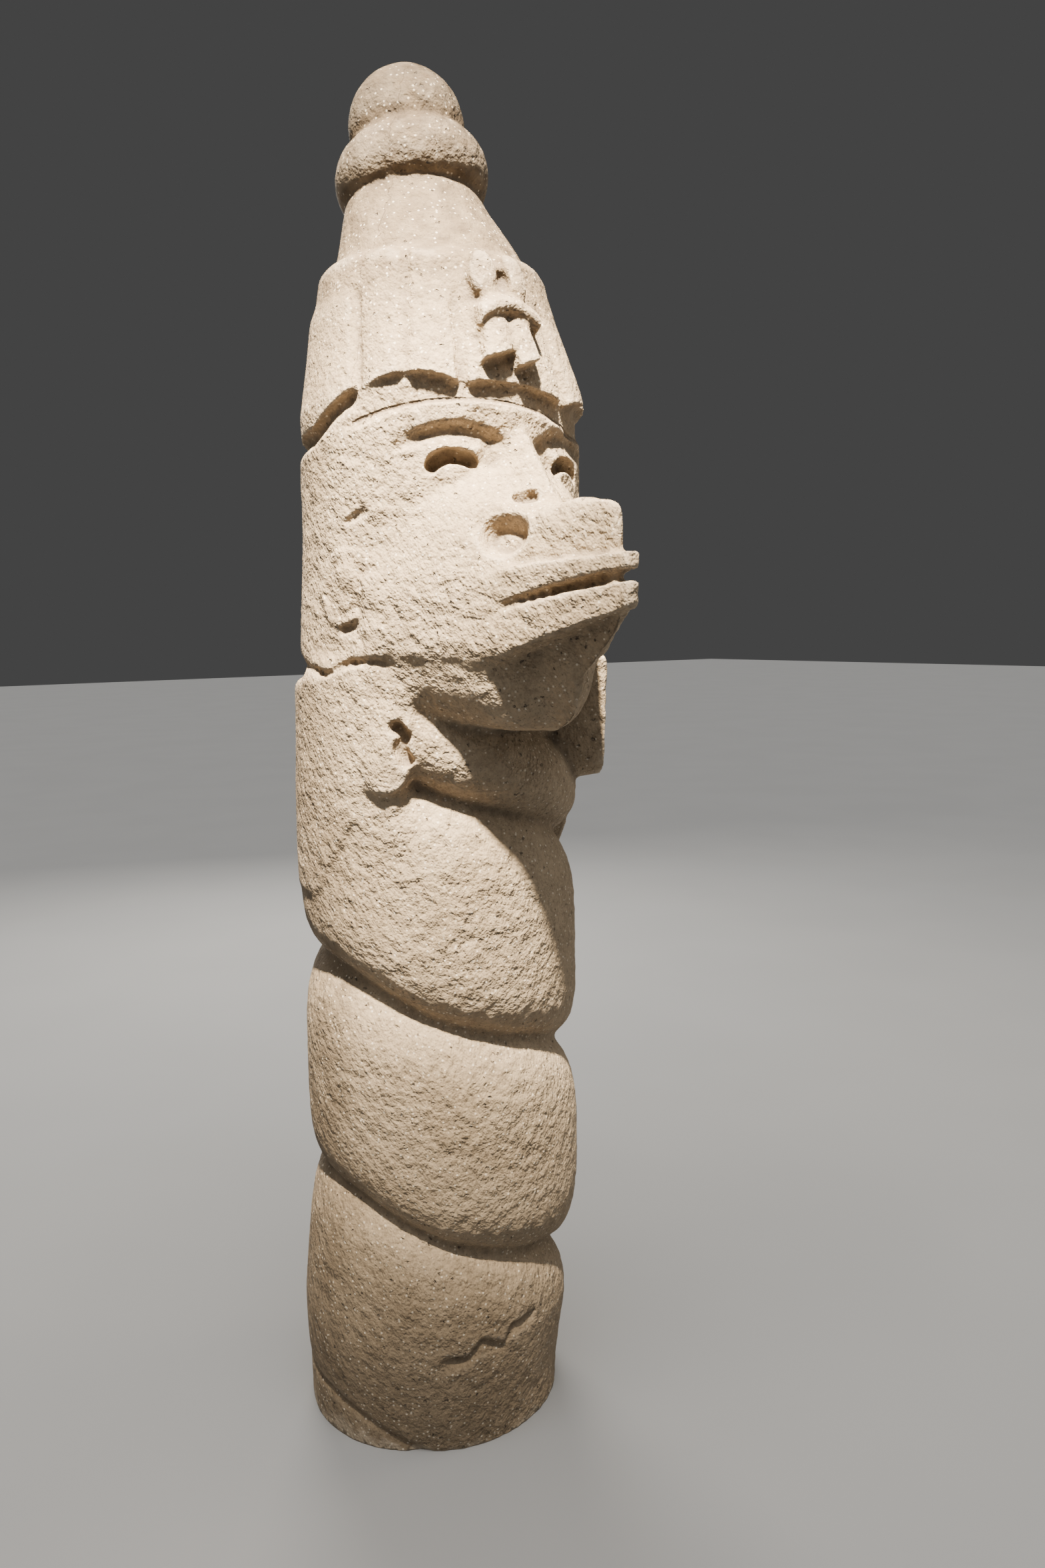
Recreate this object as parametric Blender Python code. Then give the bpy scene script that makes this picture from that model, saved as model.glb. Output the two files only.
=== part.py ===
"""Stone deity sculpture: a coiled column that carries a beaked mask, a pleated crown and a knobbed hat.

One carved block of volcanic stone, modelled in metres with +Z up. The face looks along -Y. The origin is
the middle of the flat underside. Angles around the column are measured from the face towards the figure's
right side (-X), in degrees. The hollow drawn on the low relief is always a depth, a raised part a rise.
"""

import math

import bmesh
import bpy
import numpy as np

# Heights along the column
KNOB_CENTRE_Z = 2.182
KNOB_HALF_HEIGHT = 0.100
RING_CENTRE_Z = 2.102
RING_HALF_HEIGHT = 0.054
CROWN_TOP_Z = 1.947
CROWN_RIM_Z = 1.714
HEADBAND_Z = 1.7055
EYE_Z = 1.609
NOSE_TOP_Z = 1.665
NOSE_TIP_Z = 1.545
BREAK_Z = 1.312
COLLAR_HEIGHT = 0.145

# Radii of the turned parts
KNOB_RADIUS = 0.097
RING_RADIUS = 0.129
RING_TUBE = 0.040
KNOB_SHIFT = 0.005
CONE_BASE_RADIUS = 0.156
CONE_SLOPE = 0.36
CROWN_TOP_RADIUS = 0.180
CROWN_RIM_RADIUS = 0.222
CROWN_SHOULDER = 0.028
HEAD_RADIUS = 0.231
NECK_RADIUS = 0.203
LOBE_RADIUS = 0.241
GROOVE_RADIUS = 0.196

# The coil: one groove that runs down towards the figure's left
COIL_PITCH = 0.376
COIL_START_Z = 0.331
COIL_SWAY = 0.030
COIL_SWAY_ANGLE = 76.0
COIL_SWAY_SPREAD = 32.0
LOBE_FULLNESS = 4.5
COLLAR_FULLNESS = 2.3
LOBE_SAG = 0.86
GROOVE_WEAR = 0.70
WORN_SIDE_ANGLE = 105.0
WORN_SIDE_SPREAD = 55.0
FOOT_GROOVE_WEAR = 0.75
FOOT_CREASE = 0.006
FOOT_TAPER = 0.015

# The column's middle line: the foot drifts, the head leans forward, the hat back
FOOT_DRIFT_X = -0.025
FOOT_DRIFT_Y = 0.016
HEAD_FORWARD = 0.039
HAT_BACK = 0.033
HAT_TILT = 17.0

# The muzzle and its beak
MUZZLE_ROOT_Y = -0.153
MUZZLE_ROOT_HALF = 0.2055
MUZZLE_TAPER = 0.554
MOUTH_CORNER_Y = -0.344
BEAK_TIP_Y = -0.529
SNOUT_TIP_Y = -0.499
MOUTH_Z = 1.402
LIP_TOP_Z = 1.463
CHANNEL_DEPTH = 0.014
SNOUT_TOP_Z = 1.549
SNOUT_CHEEK_RISE = 0.085
SNOUT_BUMP_Y = -0.432
SNOUT_BUMP = 0.005
SNOUT_DIP = 0.007
BEAK_ROOT_Y = -0.080
UPPER_LIP_RISE = 0.048
UPPER_LIP_LIFT = 0.014
LOWER_LIP_RISE = 0.035
LOWER_LIP_ARCH = 0.018
LOWER_LIP_Z = 1.322
LOWER_LIP_LIFT = 0.078
LIP_ROOT_OVERLAP = 0.010
CHIN_Z = 1.216
CHIN_TURN_Y = -0.330
CHIN_ROUNDING = 0.084
CHIN_SLOPE = 0.88
TIP_ROUNDING = 0.014
LIP_SQUARENESS = 9.0
LIP_PROUD = 0.005
NOSE_HALF_WIDTH = 0.086
NOSE_BACK_Y = -0.200
NOSE_FRONT_Y = -0.276
NOSE_REACH = 0.090
NOSE_SQUARENESS = 1.30

# Low relief
PLEAT_ANGLES = (22.8, 44.0, 64.0)
PLEAT_TOPS = (1.875, 1.945, 1.895)
PLEAT_DEPTH = 0.012
PLEAT_WIDTH = 0.0075
PLEAT_SLANT = 30.0
PLEAT_OPENING = 0.9
PLEAT_OPENING_Z = 1.80
BACK_SEAM_ANGLE = 138.0
RIM_FLARE = 0.026
RIM_FLARE_ANGLE = 38.0
RIM_FLARE_FRONT = 46.0
RIM_FLARE_SIDE = 23.0
RIM_UNDERCUT = 0.016
RIM_SCALLOP = 0.015
RIM_SCALLOP_SPAN = 36.0
RIM_SIDE_DROP = 0.049
RIM_SIDE_START = 62.0
RIM_SIDE_END = 96.0
RIM_TILT = 0.0004
HEADBAND_STEP = 0.007
HEADBAND_ANGLE = 17.0
HEADBAND_DROP = 0.036
HEADBAND_REACH = 48.0
NECK_SWELL = 0.007
JAW_Z = 1.232
JAW_RISE = 0.100
JAW_EAR_DROP = 0.050
JAW_EAR_ANGLE = 54.0
PANEL_STEP = 0.006
PANEL_TOP_Z = 1.890
KNOT_ANGLE = 2.5
KNOT_Z = 1.849
LOOP_Z = 1.893
LOOP_HALF_WIDTH = 0.030
LOOP_HALF_HEIGHT = 0.043
LOOP_RISE = 0.027
BAND_HALF_LENGTH = 0.053
BAND_HALF_HEIGHT = 0.020
BAND_DROP = 0.022
BAND_RISE = 0.035
TAIL_WIDTHS = (0.036, 0.048)
TAIL_LENGTH = 0.086
TAIL_FLARE = 0.08
TAIL_SLANT = 0.35
TAIL_RISE = 0.021
TAIL_SLOPE = 0.09
SLIT_HALF_WIDTH = 0.007
SLIT_HALF_HEIGHT = 0.019
EYE_ANGLE = 27.5
EYE_HALF_WIDTH = 0.040
EYE_HALF_HEIGHT = 0.023
EYE_DEPTH = 0.034
EYE_CORNER_ANGLE = 13.0
EYE_CORNER_DEPTH = 0.009
BROW_RISE = 0.062
BROW_SAG = 0.021
BROW_HALF_SPAN = 19.0
BROW_DEPTH = 0.016
EAR_ANGLE = 71.0
EAR_Z = 1.437
EAR_RADIUS = 0.063
EAR_STEP = 0.0035
EAR_RING_DEPTH = 0.003
EAR_HOOK_DEPTH = 0.010
EAR_SLOT_DEPTH = 0.006
PENDANT_ANGLE = 51.0
PENDANT_TIP_Z = 1.113
PENDANT_HALF_WIDTH = 0.045
PENDANT_TOP_Z = 1.330
PENDANT_RISE = 0.013
PENDANT_RECESS = 0.022
PENDANT_RECESS_PATH = ((47.0, 1.226), (44.0, 1.212), (45.5, 1.196), (43.0, 1.174))
PROUD_PENDANT_RADIUS = 0.280
PENDANT_SLOPE = 0.016
FLAP_TIP_Z = 0.945
FLAP_SLANT = 0.155
FLAP_START_ANGLE = 55.0
FLAP_ANGLE = 92.0
FLAP_RADIUS = 0.245
FLAP_FADE_Z = (1.345, 1.300)
CRACK_WIDTH = 0.007
CRACK_DEPTH = 0.013
BREAK_FRONT_RISE = 0.022
BREAK_DIP = 0.009
BREAK_DIP_ANGLE = 79.0
BREAK_SPOT = ((50.0, 1.338), (51.0, 1.325))
BREAK_SPOT_DEPTH = 0.014
NOTCH_ANGLE = 118.0
NOTCH_SPREAD = 15.0
NOTCH_HALF_HEIGHT = 0.015
NOTCH_DEPTH = 0.040
CHIP_ANGLES = (-12.7, 0.3, 2.8, 12.7, 18.0, 28.6)
CHIP_HEIGHTS = (0.219, 0.212, 0.184, 0.204, 0.179, 0.176)
CHIP_LEDGE = 0.009
CHIP_FADE = 0.030
CHEEK_BLEND = 0.0016

# Nostrils: distance from the middle, y, z, radius and depth of each pit
NOSTRIL_PITS = (
    (0.096, -0.334, 1.526, 0.040, 0.006),
    (0.092, -0.342, 1.513, 0.037, 0.034),
    (0.098, -0.331, 1.553, 0.011, 0.014),
    (0.103, -0.322, 1.544, 0.012, 0.016),
    (0.108, -0.313, 1.531, 0.013, 0.017),
    (0.104, -0.320, 1.518, 0.011, 0.012),
    (0.043, -0.328, 1.567, 0.013, 0.015),
    (0.033, -0.334, 1.566, 0.013, 0.015),
)

# Mesh density of the finished solid
RING_STEPS = 240
ROW_HEIGHT = 0.005
BEAK_SIDES = 48
BEAK_ROWS = 60
CARVING_CELL = 0.0075
FACET_BUDGET = 9400
SINK = 0.03

STONE_COLOUR = (0.42, 0.37, 0.30, 1.0)
STONE_ROUGHNESS = 0.92


def ease(edge_low, edge_high, value):
    """Smooth ramp from 0 at edge_low to 1 at edge_high."""
    t = np.clip((value - edge_low) / (edge_high - edge_low), 0.0, 1.0)
    return t * t * (3.0 - 2.0 * t)


def wrap(angle):
    """Angle in degrees brought into -180 to 180."""
    return (angle + 180.0) % 360.0 - 180.0


def along(angle):
    """Arc length on the head for an angle in degrees."""
    return np.radians(angle) * HEAD_RADIUS


def path_distance(angle, height, points):
    """Distance on the unrolled surface to a path of (angle, height) points."""
    nearest = np.full(np.broadcast(angle, height).shape, 1.0)
    for (angle_a, z_a), (angle_b, z_b) in zip(points[:-1], points[1:]):
        across = along(wrap(angle - angle_a))
        up = height - z_a
        run = along(angle_b - angle_a)
        rise = z_b - z_a
        t = np.clip((across * run + up * rise) / (run * run + rise * rise), 0.0, 1.0)
        nearest = np.minimum(nearest, np.hypot(across - t * run, up - t * rise))
    return nearest


def oval(angle, height, centre_angle, centre_z, half_width, half_height):
    """Value under 1 inside an oval on the unrolled surface."""
    across = along(wrap(angle - centre_angle)) / half_width
    return np.hypot(across, (height - centre_z) / half_height)


def centre_x(z):
    """Sideways drift of the column's middle line."""
    return FOOT_DRIFT_X * ease(0.47, 0.02, z)


def centre_y(z):
    """Fore and aft drift of the column's middle line."""
    foot = FOOT_DRIFT_Y * ease(0.47, 0.02, z)
    head = -HEAD_FORWARD * ease(0.97, 1.62, z)
    crown = 0.4 * HEAD_FORWARD * ease(1.67, 1.94, z)
    hat = (HAT_BACK + 0.6 * HEAD_FORWARD) * ease(1.92, RING_CENTRE_Z, z)
    return foot + head + crown + hat


def groove_height(angle, turn):
    """Height of the coil's groove at an angle, on a given turn."""
    sway = COIL_SWAY * np.exp(-((angle - COIL_SWAY_ANGLE) / COIL_SWAY_SPREAD) ** 2)
    return COIL_START_Z + COIL_PITCH * (turn + angle / 360.0) + sway


def lobe(share, fullness):
    """Swelling of a coil from one groove (0) to the next (1)."""
    sagged = np.clip(share, 0.0, 1.0) ** LOBE_SAG
    return 1.0 - np.abs(2.0 * sagged - 1.0) ** fullness


def coil_radius(angle, z):
    """Radius of the coiled body and of the slimmer collar under the head."""
    turns = (z - groove_height(angle, 0)) / COIL_PITCH
    share = turns - np.floor(turns)
    worn = np.exp(-(wrap(angle - WORN_SIDE_ANGLE) / WORN_SIDE_SPREAD) ** 2)
    worn = GROOVE_WEAR * worn * ease(0.85, 0.10, z)
    depth = (LOBE_RADIUS - GROOVE_RADIUS) * (1.0 - worn) * (1.0 - FOOT_GROOVE_WEAR * ease(0.20, 0.10, z))
    crease = FOOT_CREASE * np.exp(-((z - groove_height(angle, -1)) / 0.006) ** 2)
    body = LOBE_RADIUS - depth * (1.0 - lobe(share, LOBE_FULLNESS)) - crease
    body = body - FOOT_TAPER * ease(0.22, 0.0, z)
    above = (z - groove_height(angle, 2)) / COLLAR_HEIGHT
    collar = NECK_RADIUS + (LOBE_RADIUS - NECK_RADIUS) * lobe(above, COLLAR_FULLNESS)
    return np.where(above > 0.0, collar, body)


def crown_radius(z):
    """Radius of the pleated crown with its rounded shoulder."""
    share = np.clip((CROWN_TOP_Z - z) / (CROWN_TOP_Z - CROWN_RIM_Z), 0.0, 1.0)
    straight = CROWN_TOP_RADIUS + (CROWN_RIM_RADIUS - CROWN_TOP_RADIUS) * share
    inset = np.clip((CROWN_SHOULDER - (CROWN_TOP_Z - z)) / CROWN_SHOULDER, 0.0, 1.0)
    return straight - CROWN_SHOULDER * (1.0 - np.sqrt(1.0 - inset * inset))


def rim_height(angle):
    """Lower edge of the crown: two scallops a side in front, hanging lower over the ears."""
    side = np.abs(wrap(angle))
    inner = np.sin(np.pi * np.clip((side + PLEAT_ANGLES[0]) / (2.0 * PLEAT_ANGLES[0]), 0.0, 1.0))
    outer = np.sin(np.pi * np.clip((side - PLEAT_ANGLES[0]) / RIM_SCALLOP_SPAN, 0.0, 1.0))
    scallops = RIM_SCALLOP * (inner ** 0.6 + 0.9 * outer ** 0.7)
    drop = RIM_SIDE_DROP * ease(RIM_SIDE_START, RIM_SIDE_END, side)
    tilt = RIM_TILT * np.clip(wrap(angle), -20.0, 40.0) * ease(150.0, 80.0, side)
    return CROWN_RIM_Z + scallops - drop + tilt


def crown_relief(angle, z):
    """Pleats, side panels and front flare of the crown."""
    side = np.abs(wrap(angle))
    down = ease(CROWN_TOP_Z, CROWN_RIM_Z, z)
    spread = np.where(side < RIM_FLARE_ANGLE, RIM_FLARE_FRONT, RIM_FLARE_SIDE)
    relief = RIM_FLARE * np.exp(-((side - RIM_FLARE_ANGLE) / spread) ** 2) * down
    for pleat, top in zip(PLEAT_ANGLES, PLEAT_TOPS):
        across = along(side - pleat - PLEAT_SLANT * (z - CROWN_RIM_Z) * (pleat == PLEAT_ANGLES[2]))
        open_below = PLEAT_OPENING * (pleat == PLEAT_ANGLES[0]) * ease(PLEAT_OPENING_Z, CROWN_RIM_Z, z)
        valley = PLEAT_DEPTH * (0.7 + open_below) * ease(top, top - 0.03, z)
        relief = relief - valley * np.exp(-(across / PLEAT_WIDTH) ** 2)
        relief = relief - 0.25 * PLEAT_DEPTH * np.exp(-(across / (4.0 * PLEAT_WIDTH)) ** 2)
    slant = PLEAT_ANGLES[2] + PLEAT_SLANT * (z - CROWN_RIM_Z)
    panel = PANEL_STEP * ease(slant, slant + 3.0, side) * ease(PANEL_TOP_Z, PANEL_TOP_Z - 0.035, z)
    below_top = ease(CROWN_TOP_Z - 0.04, CROWN_TOP_Z - 0.10, z)
    back_seam = PLEAT_DEPTH * np.exp(-(along(wrap(side - BACK_SEAM_ANGLE)) / PLEAT_WIDTH) ** 2) * below_top
    return relief + panel - back_seam


def dome(share):
    """Round cap: 1 in the middle, falling to 0 at the edge where share is 1."""
    return np.sqrt(np.clip(1.0 - share * share, 0.0, 1.0))


def knot_relief(angle, z):
    """Bow on the front of the crown: two round loops, an arched band and two hanging tails."""
    across = along(wrap(angle - KNOT_ANGLE))
    arch = KNOT_Z - BAND_DROP * (across / BAND_HALF_LENGTH) ** 2
    rise = np.zeros(np.broadcast(angle, z).shape)
    for side, width in ((-1.0, TAIL_WIDTHS[0]), (1.0, TAIL_WIDTHS[1])):
        outward = side * across
        loop = np.hypot(outward / LOOP_HALF_WIDTH - 0.95, (z - LOOP_Z) / LOOP_HALF_HEIGHT)
        rise = np.maximum(rise, LOOP_RISE * dome(loop) ** 0.6)
        flare = width + TAIL_FLARE * (KNOT_Z - z)
        low = KNOT_Z - TAIL_LENGTH + 0.005 * side - TAIL_SLANT * (across - 0.5 * side * width)
        rounded = dome(np.clip(2.0 * outward / flare - 1.0, -1.0, 1.0)) ** 0.4
        hanging = ease(low - 0.003, low + 0.003, z) * (z < arch) * (outward > 0.0)
        rise = np.maximum(rise, (TAIL_RISE + TAIL_SLOPE * (KNOT_Z - z)) * rounded * hanging)
    ends = ease(1.12, 0.92, np.abs(across) / BAND_HALF_LENGTH)
    band = dome(np.clip((z - arch) / BAND_HALF_HEIGHT, -1.0, 1.0)) ** 0.7
    rise = np.maximum(rise, BAND_RISE * band * ends)
    slit = oval(angle, z, KNOT_ANGLE - 1.0, LOOP_Z - 0.006, SLIT_HALF_WIDTH, SLIT_HALF_HEIGHT)
    return rise - (rise + 0.004) * ease(1.1, 0.6, slit)


def jaw_height(angle):
    """Lower edge of the mask, from the ears down to the chin."""
    side = np.abs(wrap(angle))
    front = JAW_RISE * ease(8.0, JAW_EAR_ANGLE, side)
    return JAW_Z + front - JAW_EAR_DROP * ease(JAW_EAR_ANGLE, JAW_EAR_ANGLE + 12.0, side)


def face_relief(angle, z):
    """Brows, lids and eye slots on the mask."""
    side = np.abs(wrap(angle))
    arch = EYE_Z + BROW_RISE - BROW_SAG * ((side - EYE_ANGLE + 1.0) / BROW_HALF_SPAN) ** 2
    foot = EYE_Z + EYE_HALF_HEIGHT
    taper = np.clip((arch - foot) / 0.030, 0.0, 1.0)
    above = ease(arch + 0.010, arch - 0.013, z)
    brow = -BROW_DEPTH * taper * above * ease(foot - 0.002, arch - 0.004, z)
    slot = oval(side, z, EYE_ANGLE, EYE_Z + 0.003, EYE_HALF_WIDTH, EYE_HALF_HEIGHT)
    lid = oval(side, z, EYE_ANGLE - 0.6, EYE_Z - 0.014, 0.90 * EYE_HALF_WIDTH, 0.96 * EYE_HALF_HEIGHT)
    eye = -EYE_DEPTH * ease(1.03, 0.86, slot) * ease(0.88, 1.08, lid)
    corner = oval(side, z, EYE_CORNER_ANGLE, EYE_Z + 0.012, 0.6 * EYE_HALF_WIDTH, 1.5 * EYE_HALF_HEIGHT)
    return brow + eye - EYE_CORNER_DEPTH * ease(1.0, 0.4, corner)


def ear_relief(angle, z):
    """Ringed ear ornament on each side of the head, with its slot above."""
    side = np.abs(wrap(angle))
    disc = oval(side, z, EAR_ANGLE, EAR_Z, EAR_RADIUS * 0.92, EAR_RADIUS)
    relief = EAR_STEP * ease(1.04, 0.92, disc)
    relief = relief - EAR_RING_DEPTH * np.exp(-((disc - 0.62) / 0.10) ** 2)
    boss = oval(side, z, EAR_ANGLE, EAR_Z + 0.022, 0.022, 0.026)
    relief = relief + EAR_RING_DEPTH * ease(1.1, 0.8, boss)
    hook = [(EAR_ANGLE + 0.5 - 4.0 * k, EAR_Z - EAR_RADIUS * (1.00 - 0.0437 * k * k)) for k in range(5)]
    relief = relief - EAR_HOOK_DEPTH * ease(0.008, 0.002, path_distance(side, z, hook))
    slot = [(EAR_ANGLE - 1.0, EAR_Z + 0.099), (EAR_ANGLE - 9.0, EAR_Z + 0.113)]
    return relief - EAR_SLOT_DEPTH * ease(0.007, 0.001, path_distance(side, z, slot))


def with_pendants(radius, angle, z):
    """Radius with the tongues over the collar: worn into the flap on the right, proud on the left."""
    across = along(np.abs(wrap(angle)) - PENDANT_ANGLE)
    below = np.minimum(z - PENDANT_TIP_Z - PENDANT_HALF_WIDTH, 0.0)
    proud = PROUD_PENDANT_RADIUS - PENDANT_SLOPE * across / PENDANT_HALF_WIDTH
    proud_edge = PENDANT_HALF_WIDTH - np.hypot(across, below)
    proud_outline = ease(0.0, 0.010, proud_edge) * ease(PENDANT_TOP_Z + 0.018, PENDANT_TOP_Z - 0.002, z)
    bulge = PENDANT_RISE * ease(1.28, 1.16, z) * ease(1.3, 0.0, np.abs(across) / PENDANT_HALF_WIDTH)
    worn = FLAP_RADIUS - 0.003 + bulge
    worn_edge = PENDANT_HALF_WIDTH - np.hypot(np.where(across > 0.0, 0.7 * across, across), below)
    worn_outline = ease(0.0, 0.011, worn_edge) * ease(PENDANT_TOP_Z + 0.050, PENDANT_TOP_Z, z)
    tongue = np.where(angle > 0.0, worn, proud)
    outline = np.where(angle > 0.0, worn_outline, proud_outline)
    beside = ease(38.0, 50.0, angle) * ease(66.0, 60.0, angle)
    filled = beside * ease(1.00, 1.07, z) * ease(1.17, 1.15, z)
    radius = radius + (FLAP_RADIUS - 0.002 - radius) * filled
    recess = PENDANT_RECESS * ease(0.012, 0.003, path_distance(angle, z, PENDANT_RECESS_PATH))
    return radius + np.maximum(tongue - radius, 0.0) * outline - recess


def flap_rise(angle, z):
    """Plain flap that hangs from the head down the back."""
    side = np.abs(wrap(angle))
    lower = FLAP_TIP_Z + FLAP_SLANT * ease(FLAP_ANGLE, FLAP_START_ANGLE, side)
    return ease(FLAP_START_ANGLE - 4.0, FLAP_START_ANGLE + 8.0, side) * ease(lower - 0.012, lower + 0.008, z)


def break_depth(angle, z):
    """Mended break through the neck, seen as an uneven line round the sides and back."""
    side = np.abs(wrap(angle))
    wander = 0.005 * np.sin(np.radians(angle * 5.0)) + 0.003 * np.sin(np.radians(angle * 11.0 + 40.0))
    dip = BREAK_DIP * np.exp(-((angle - BREAK_DIP_ANGLE) / 7.0) ** 2)
    line = BREAK_Z + wander + BREAK_FRONT_RISE * ease(80.0, 54.0, side) - dip
    uneven = (0.75 + 0.25 * np.sin(np.radians(angle * 23.0))) * ease(48.0, 51.0, side)
    crack = CRACK_DEPTH * uneven * ease(CRACK_WIDTH, 0.2 * CRACK_WIDTH, np.abs(z - line))
    notch = np.exp(-((z - BREAK_Z) / NOTCH_HALF_HEIGHT) ** 2 - ((angle - NOTCH_ANGLE) / NOTCH_SPREAD) ** 2)
    spot = BREAK_SPOT_DEPTH * ease(0.012, 0.004, path_distance(angle, z, BREAK_SPOT))
    return np.maximum(crack, NOTCH_DEPTH * notch) + spot


def foot_crack_depth(angle, z):
    """Old chip across the lowest coil: a stepped ledge with a sharp upper edge that fades out below."""
    line = np.interp(angle, CHIP_ANGLES, CHIP_HEIGHTS)
    start = ease(CHIP_ANGLES[0] - 3.0, CHIP_ANGLES[0] + 3.0, angle)
    end = ease(CHIP_ANGLES[-1] + 3.0, CHIP_ANGLES[-1] - 3.0, angle)
    ledge = ease(line + 0.003, line - 0.003, z) * ease(line - CHIP_FADE, line - 0.004, z)
    return CHIP_LEDGE * ledge * start * end


def headband_height(angle):
    """Height of the line cut round the forehead under the crown."""
    across = np.clip(wrap(angle - HEADBAND_ANGLE) / HEADBAND_REACH, -1.0, 1.0)
    return HEADBAND_Z - HEADBAND_DROP * across ** 2


def head_radius(angle, z):
    """Radius of the mask and the back of the head, with the recessed headband."""
    side = np.abs(wrap(angle))
    head = HEAD_RADIUS + NECK_SWELL * ease(1.52, 1.27, z)
    band = headband_height(angle)
    front = ease(80.0, 62.0, side)
    head = head - HEADBAND_STEP * ease(band - 0.003, band + 0.004, z) * front
    return head + face_relief(angle, z) + ear_relief(angle, z)


def column_radius(angle, z):
    """Outer radius of the carved column at an angle and a height."""
    radius = coil_radius(angle, z)
    above_jaw = ease(-0.016, 0.026, z - jaw_height(angle))
    radius = np.maximum(radius, NECK_RADIUS + (head_radius(angle, z) - NECK_RADIUS) * above_jaw)
    flap = flap_rise(angle, z) * ease(FLAP_FADE_Z[0], FLAP_FADE_Z[1], z)
    radius = radius + (FLAP_RADIUS - radius) * flap
    radius = with_pendants(radius, angle, z)
    radius = radius - break_depth(angle, z) - foot_crack_depth(angle, z)
    crown = crown_radius(z) + crown_relief(angle, z) + knot_relief(angle, z)
    rim = rim_height(angle)
    over_ear = ease(RIM_SIDE_START, RIM_SIDE_START + 8.0, np.abs(wrap(angle)))
    under_rim = ease(rim - 0.034, rim - 0.010, z) * over_ear
    radius = np.where(z > rim, crown, radius - RIM_UNDERCUT * under_rim)
    cone = CONE_BASE_RADIUS - CONE_SLOPE * (z - CROWN_TOP_Z)
    return np.where(z > CROWN_TOP_Z, cone, radius)


def add_mesh(name, vertices, faces):
    """Mesh object from computed points."""
    mesh = bpy.data.meshes.new(name)
    mesh.from_pydata(vertices, [], faces)
    mesh.update()
    piece = bpy.data.objects.new(name, mesh)
    bpy.context.scene.collection.objects.link(piece)
    return piece


def skin_rings(name, rings):
    """Closed skin over rings that all have the same number of points."""
    count = len(rings[0])
    vertices = [tuple(point) for ring in rings for point in ring]
    faces = []
    for row in range(len(rings) - 1):
        for k in range(count):
            after = (k + 1) % count
            below = row * count
            above = below + count
            faces.append((below + k, below + after, above + after, above + k))
    faces.append(tuple(reversed(range(count))))
    last = (len(rings) - 1) * count
    faces.append(tuple(last + k for k in range(count)))
    return add_mesh(name, vertices, faces)


def make_column():
    """The column from under the floor line to the top of the cone."""
    top = RING_CENTRE_Z + 0.03
    rows = int((top + SINK) / ROW_HEIGHT)
    z = np.linspace(-SINK, top, rows)[:, None]
    angle = np.linspace(-180.0, 180.0, RING_STEPS, endpoint=False)[None, :]
    radius = column_radius(angle, z)
    x = centre_x(z) - radius * np.sin(np.radians(angle))
    y = centre_y(z) - radius * np.cos(np.radians(angle))
    grid = np.stack([x, y, np.broadcast_to(z, x.shape)], axis=-1)
    return skin_rings("column", [list(ring[::-1]) for ring in grid])


def make_knob():
    """Knob and ring of the hat, leaning back."""
    bpy.ops.mesh.primitive_uv_sphere_add(segments=64, ring_count=32, radius=1.0)
    knob = bpy.context.object
    knob.scale = (KNOB_RADIUS, KNOB_RADIUS, KNOB_HALF_HEIGHT)
    knob.location = (-KNOB_SHIFT, centre_y(RING_CENTRE_Z) + KNOB_SHIFT, KNOB_CENTRE_Z)
    bpy.ops.mesh.primitive_torus_add(
        major_radius=RING_RADIUS - RING_TUBE, minor_radius=RING_TUBE, major_segments=96, minor_segments=24)
    ring = bpy.context.object
    ring.scale = (1.0, 1.0, RING_HALF_HEIGHT / RING_TUBE)
    ring.rotation_euler = (math.radians(-HAT_TILT), 0.0, 0.0)
    ring.location = (0.0, centre_y(RING_CENTRE_Z), RING_CENTRE_Z)
    return [knob, ring]


def power_ring(half, middle, up, down, power_up, power_down, y):
    """Ring of points in an upright plane: a rounded outline with its own upper and lower half."""
    ring = []
    for turn in np.linspace(0.0, 2.0 * math.pi, BEAK_SIDES, endpoint=False):
        c = math.cos(turn)
        s = math.sin(turn)
        power = power_up if s >= 0.0 else power_down
        x = half * math.copysign(abs(c) ** (2.0 / power), c)
        z = (up if s >= 0.0 else down) * math.copysign(abs(s) ** (2.0 / power), s)
        ring.append((x, y, middle + z))
    return ring


def muzzle_half(y):
    """Half width of the muzzle: its sides run straight from the cheeks to the tip."""
    return max(MUZZLE_ROOT_HALF + MUZZLE_TAPER * min(y - MUZZLE_ROOT_Y, 0.0), 0.010)


def tip_rounding(y, tip):
    """1 along the beak, falling to 0 in its last few centimetres."""
    return math.sqrt(max(0.0, 1.0 - max(0.0, 1.0 - (y - tip) / TIP_ROUNDING) ** 2))


def mouth_share(y):
    """0 at the mouth's corner, 1 at the tip."""
    return min(max((MOUTH_CORNER_Y - y) / (MOUTH_CORNER_Y - BEAK_TIP_Y), 0.0), 1.0)


def chin_height(y):
    """Underside of the jaw, rising from the chin to the tip."""
    turn = min(max((CHIN_TURN_Y - y) / CHIN_ROUNDING, 0.0), 1.0)
    rounded = CHIN_Z + CHIN_ROUNDING * (1.0 - math.sqrt(1.0 - turn * turn))
    return rounded + CHIN_SLOPE * max(CHIN_TURN_Y - CHIN_ROUNDING - y, 0.0)


def snout_height(y):
    """Top of the muzzle, from the cheeks down to the snout."""
    bump = SNOUT_BUMP * math.exp(-((y - SNOUT_BUMP_Y) / 0.018) ** 2)
    dip = SNOUT_DIP * float(ease(SNOUT_TIP_Y + 0.034, SNOUT_TIP_Y + 0.004, y))
    return SNOUT_TOP_Z + SNOUT_CHEEK_RISE * float(ease(-0.375, -0.220, y)) + bump - dip


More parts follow.
